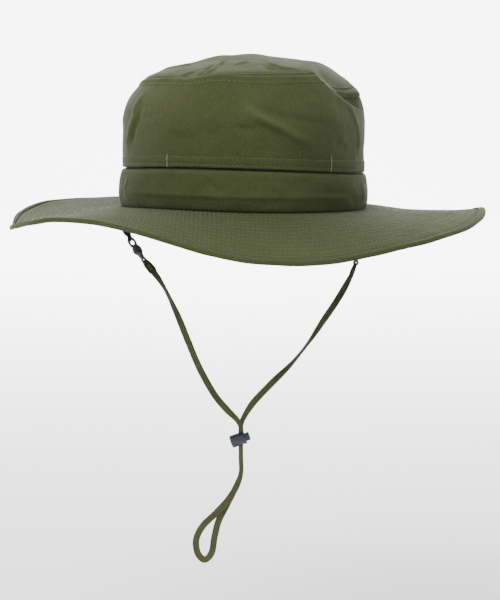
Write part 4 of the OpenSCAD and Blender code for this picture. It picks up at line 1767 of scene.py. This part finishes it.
def build_backdrop(scene):
    """Pale floor that curves up into a wall behind."""
    z = scene.hat_stage.floor_z
    profile = [(-5.0, z), (3.6, z)]
    for i in range(1, 17):
        b = math.pi / 2 * i / 16
        profile.append((3.6 + 1.6 * math.sin(b), z + 1.6 * (1 - math.cos(b))))
    profile.append((5.2, z + 5.0))
    verts = []
    for y, height in profile:
        verts += [(-5.0, y, height), (5.0, y, height)]
    faces = [(2 * i, 2 * i + 1, 2 * i + 3, 2 * i + 2) for i in range(len(profile) - 1)]
    floor = mesh_object("studio_floor", verts, faces)
    floor.data.materials.append(finish("floor"))
    return floor


def build_lights(scene):
    """Soft light from above and a little to the side, with a weak fill from the front."""
    centre = (0, 0, 0)
    area_light("key", (-0.85, -1.05, 1.5), centre, (1.2, 1.0), 50, (1.0, 0.99, 0.96))
    area_light("top", (0.1, 0.5, 1.9), centre, (1.6, 1.2), 12, (0.97, 0.98, 1.0))
    area_light("fill", (0.9, -1.9, 0.35), centre, (1.2, 1.2), 13, (1.0, 1.0, 1.0))
    area_light("wall", (0.0, 2.6, 2.2), (0, 4.4, -0.2), (3.4, 1.4), 640, (1.0, 1.0, 1.0))
    world = bpy.data.worlds.new("studio")
    world.use_nodes = True
    background = world.node_tree.nodes["Background"]
    background.inputs["Color"].default_value = (1.0, 1.0, 1.0, 1)
    background.inputs["Strength"].default_value = 0.86
    scene.world = world


# --------------------------------------------------------------------------------------------------
# Declaring the cloth
# -------------------------------------------------------------------------------------------------- Half the way round the side panel


def half_turn_length(half_w, half_l):
    """Half the way round an ellipse."""
    spread = ((half_w - half_l) / (half_w + half_l)) ** 2
    return 0.5 * math.pi * (half_w + half_l) * (1 + 3 * spread / (10 + math.sqrt(4 - 3 * spread)))


def declare_cloths(h, lining, brim):
    """Works out half the way round the upper side panel, and keeps nothing."""
    ring = half_turn_length(h.side_half_w, h.side_half_w + h.extra)
    sweatband, seam_tape, *strips = lining
    for strip in strips:
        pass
    for obj in brim[:3]:
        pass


# --------------------------------------------------------------------------------------------------
# Operators
# --------------------------------------------------------------------------------------------------


def need(*names):
    """Stops with an error if a piece that this one needs isn't there yet."""
    for name in names:
        if name not in bpy.data.objects:
            raise RuntimeError(f"make {name} first")


class HAT_OT_stage(bpy.types.Operator):
    """Make the camera, the floor and the lights"""

    bl_idname = "hat.stage"
    bl_label = "Stage"

    def execute(self, context):
        build_camera(context.scene)
        build_backdrop(context.scene)
        build_lights(context.scene)
        return {"FINISHED"}


class HAT_OT_chin_tape(bpy.types.Operator):
    """Make the chin tape and its sewn ends"""

    bl_idname = "hat.chin_tape"
    bl_label = "Chin Tape"

    def execute(self, context):
        build_tape_ends(context.scene)
        build_chin_tape(context.scene)
        return {"FINISHED"}


class HAT_OT_hooks(bpy.types.Operator):
    """Make the two moulded hooks"""

    bl_idname = "hat.hooks"
    bl_label = "Hooks"

    def execute(self, context):
        build_hooks(context.scene)
        return {"FINISHED"}


class HAT_OT_cord_lock(bpy.types.Operator):
    """Make the cord lock's barrel and button"""

    bl_idname = "hat.cord_lock"
    bl_label = "Cord Lock"

    def execute(self, context):
        build_lock()
        spring = bpy.data.objects["cord_lock_spring"]
        spring.data.materials.clear()
        spring.data.materials.append(finish("steel"))
        return {"FINISHED"}


class HAT_OT_tabs(bpy.types.Operator):
    """Make the two webbing tabs under the brim"""

    bl_idname = "hat.tabs"
    bl_label = "Tabs"

    def execute(self, context):
        build_tabs(context.scene)
        return {"FINISHED"}


class HAT_OT_cloth(bpy.types.Operator):
    """Make the crown, its lining and the brim"""

    bl_idname = "hat.cloth"
    bl_label = "Crown and Brim"

    def execute(self, context):
        h = HatShape(context.scene)
        sides = build_sides(h)
        bands = build_bands(h)
        tip = build_tip(h)
        lining = build_lining(h)
        brim = build_brim(h)
        declare_cloths(h, lining, brim)
        return {"FINISHED"}


class HAT_OT_stitching(bpy.types.Operator):
    """Sew the rows of stitches and the bartacks"""

    bl_idname = "hat.stitching"
    bl_label = "Stitching"

    def execute(self, context):
        need("side_panel_front", "brim_cloth_top")
        h = HatShape(context.scene)
        build_stitching(h)
        build_bartacks(h)
        return {"FINISHED"}


class HAT_PT_maker(bpy.types.Panel):
    """Lists the steps that make the hat"""

    bl_idname = "HAT_PT_maker"
    bl_label = "Boonie Hat"
    bl_space_type = "VIEW_3D"
    bl_region_type = "UI"
    bl_category = "Hat"

    def draw(self, context):
        for step in STEPS:
            self.layout.operator(step.bl_idname)


GROUPS = {
    "hat_crown": CrownSizes,
    "hat_brim": BrimSizes,
    "hat_strap": StrapSizes,
    "hat_colours": HatColours,
    "hat_stage": StageSizes,
}
STEPS = (
    HAT_OT_stage,
    HAT_OT_chin_tape,
    HAT_OT_hooks,
    HAT_OT_cord_lock,
    HAT_OT_tabs,
    HAT_OT_cloth,
    HAT_OT_stitching,
)


def register():
    for group in GROUPS.values():
        bpy.utils.register_class(group)
    for name, group in GROUPS.items():
        setattr(bpy.types.Scene, name, bpy.props.PointerProperty(type=group))
    for step in STEPS:
        bpy.utils.register_class(step)
    bpy.utils.register_class(HAT_PT_maker)


def unregister():
    bpy.utils.unregister_class(HAT_PT_maker)
    for step in reversed(STEPS):
        bpy.utils.unregister_class(step)
    for name in GROUPS:
        delattr(bpy.types.Scene, name)
    for group in reversed(list(GROUPS.values())):
        bpy.utils.unregister_class(group)


def main():
    register()
    bpy.ops.hat.stage()
    bpy.ops.hat.chin_tape()
    bpy.ops.hat.hooks()
    bpy.ops.hat.cord_lock()
    bpy.ops.hat.tabs()
    bpy.ops.hat.cloth()
    bpy.ops.hat.stitching()


if __name__ == "__main__":
    main()
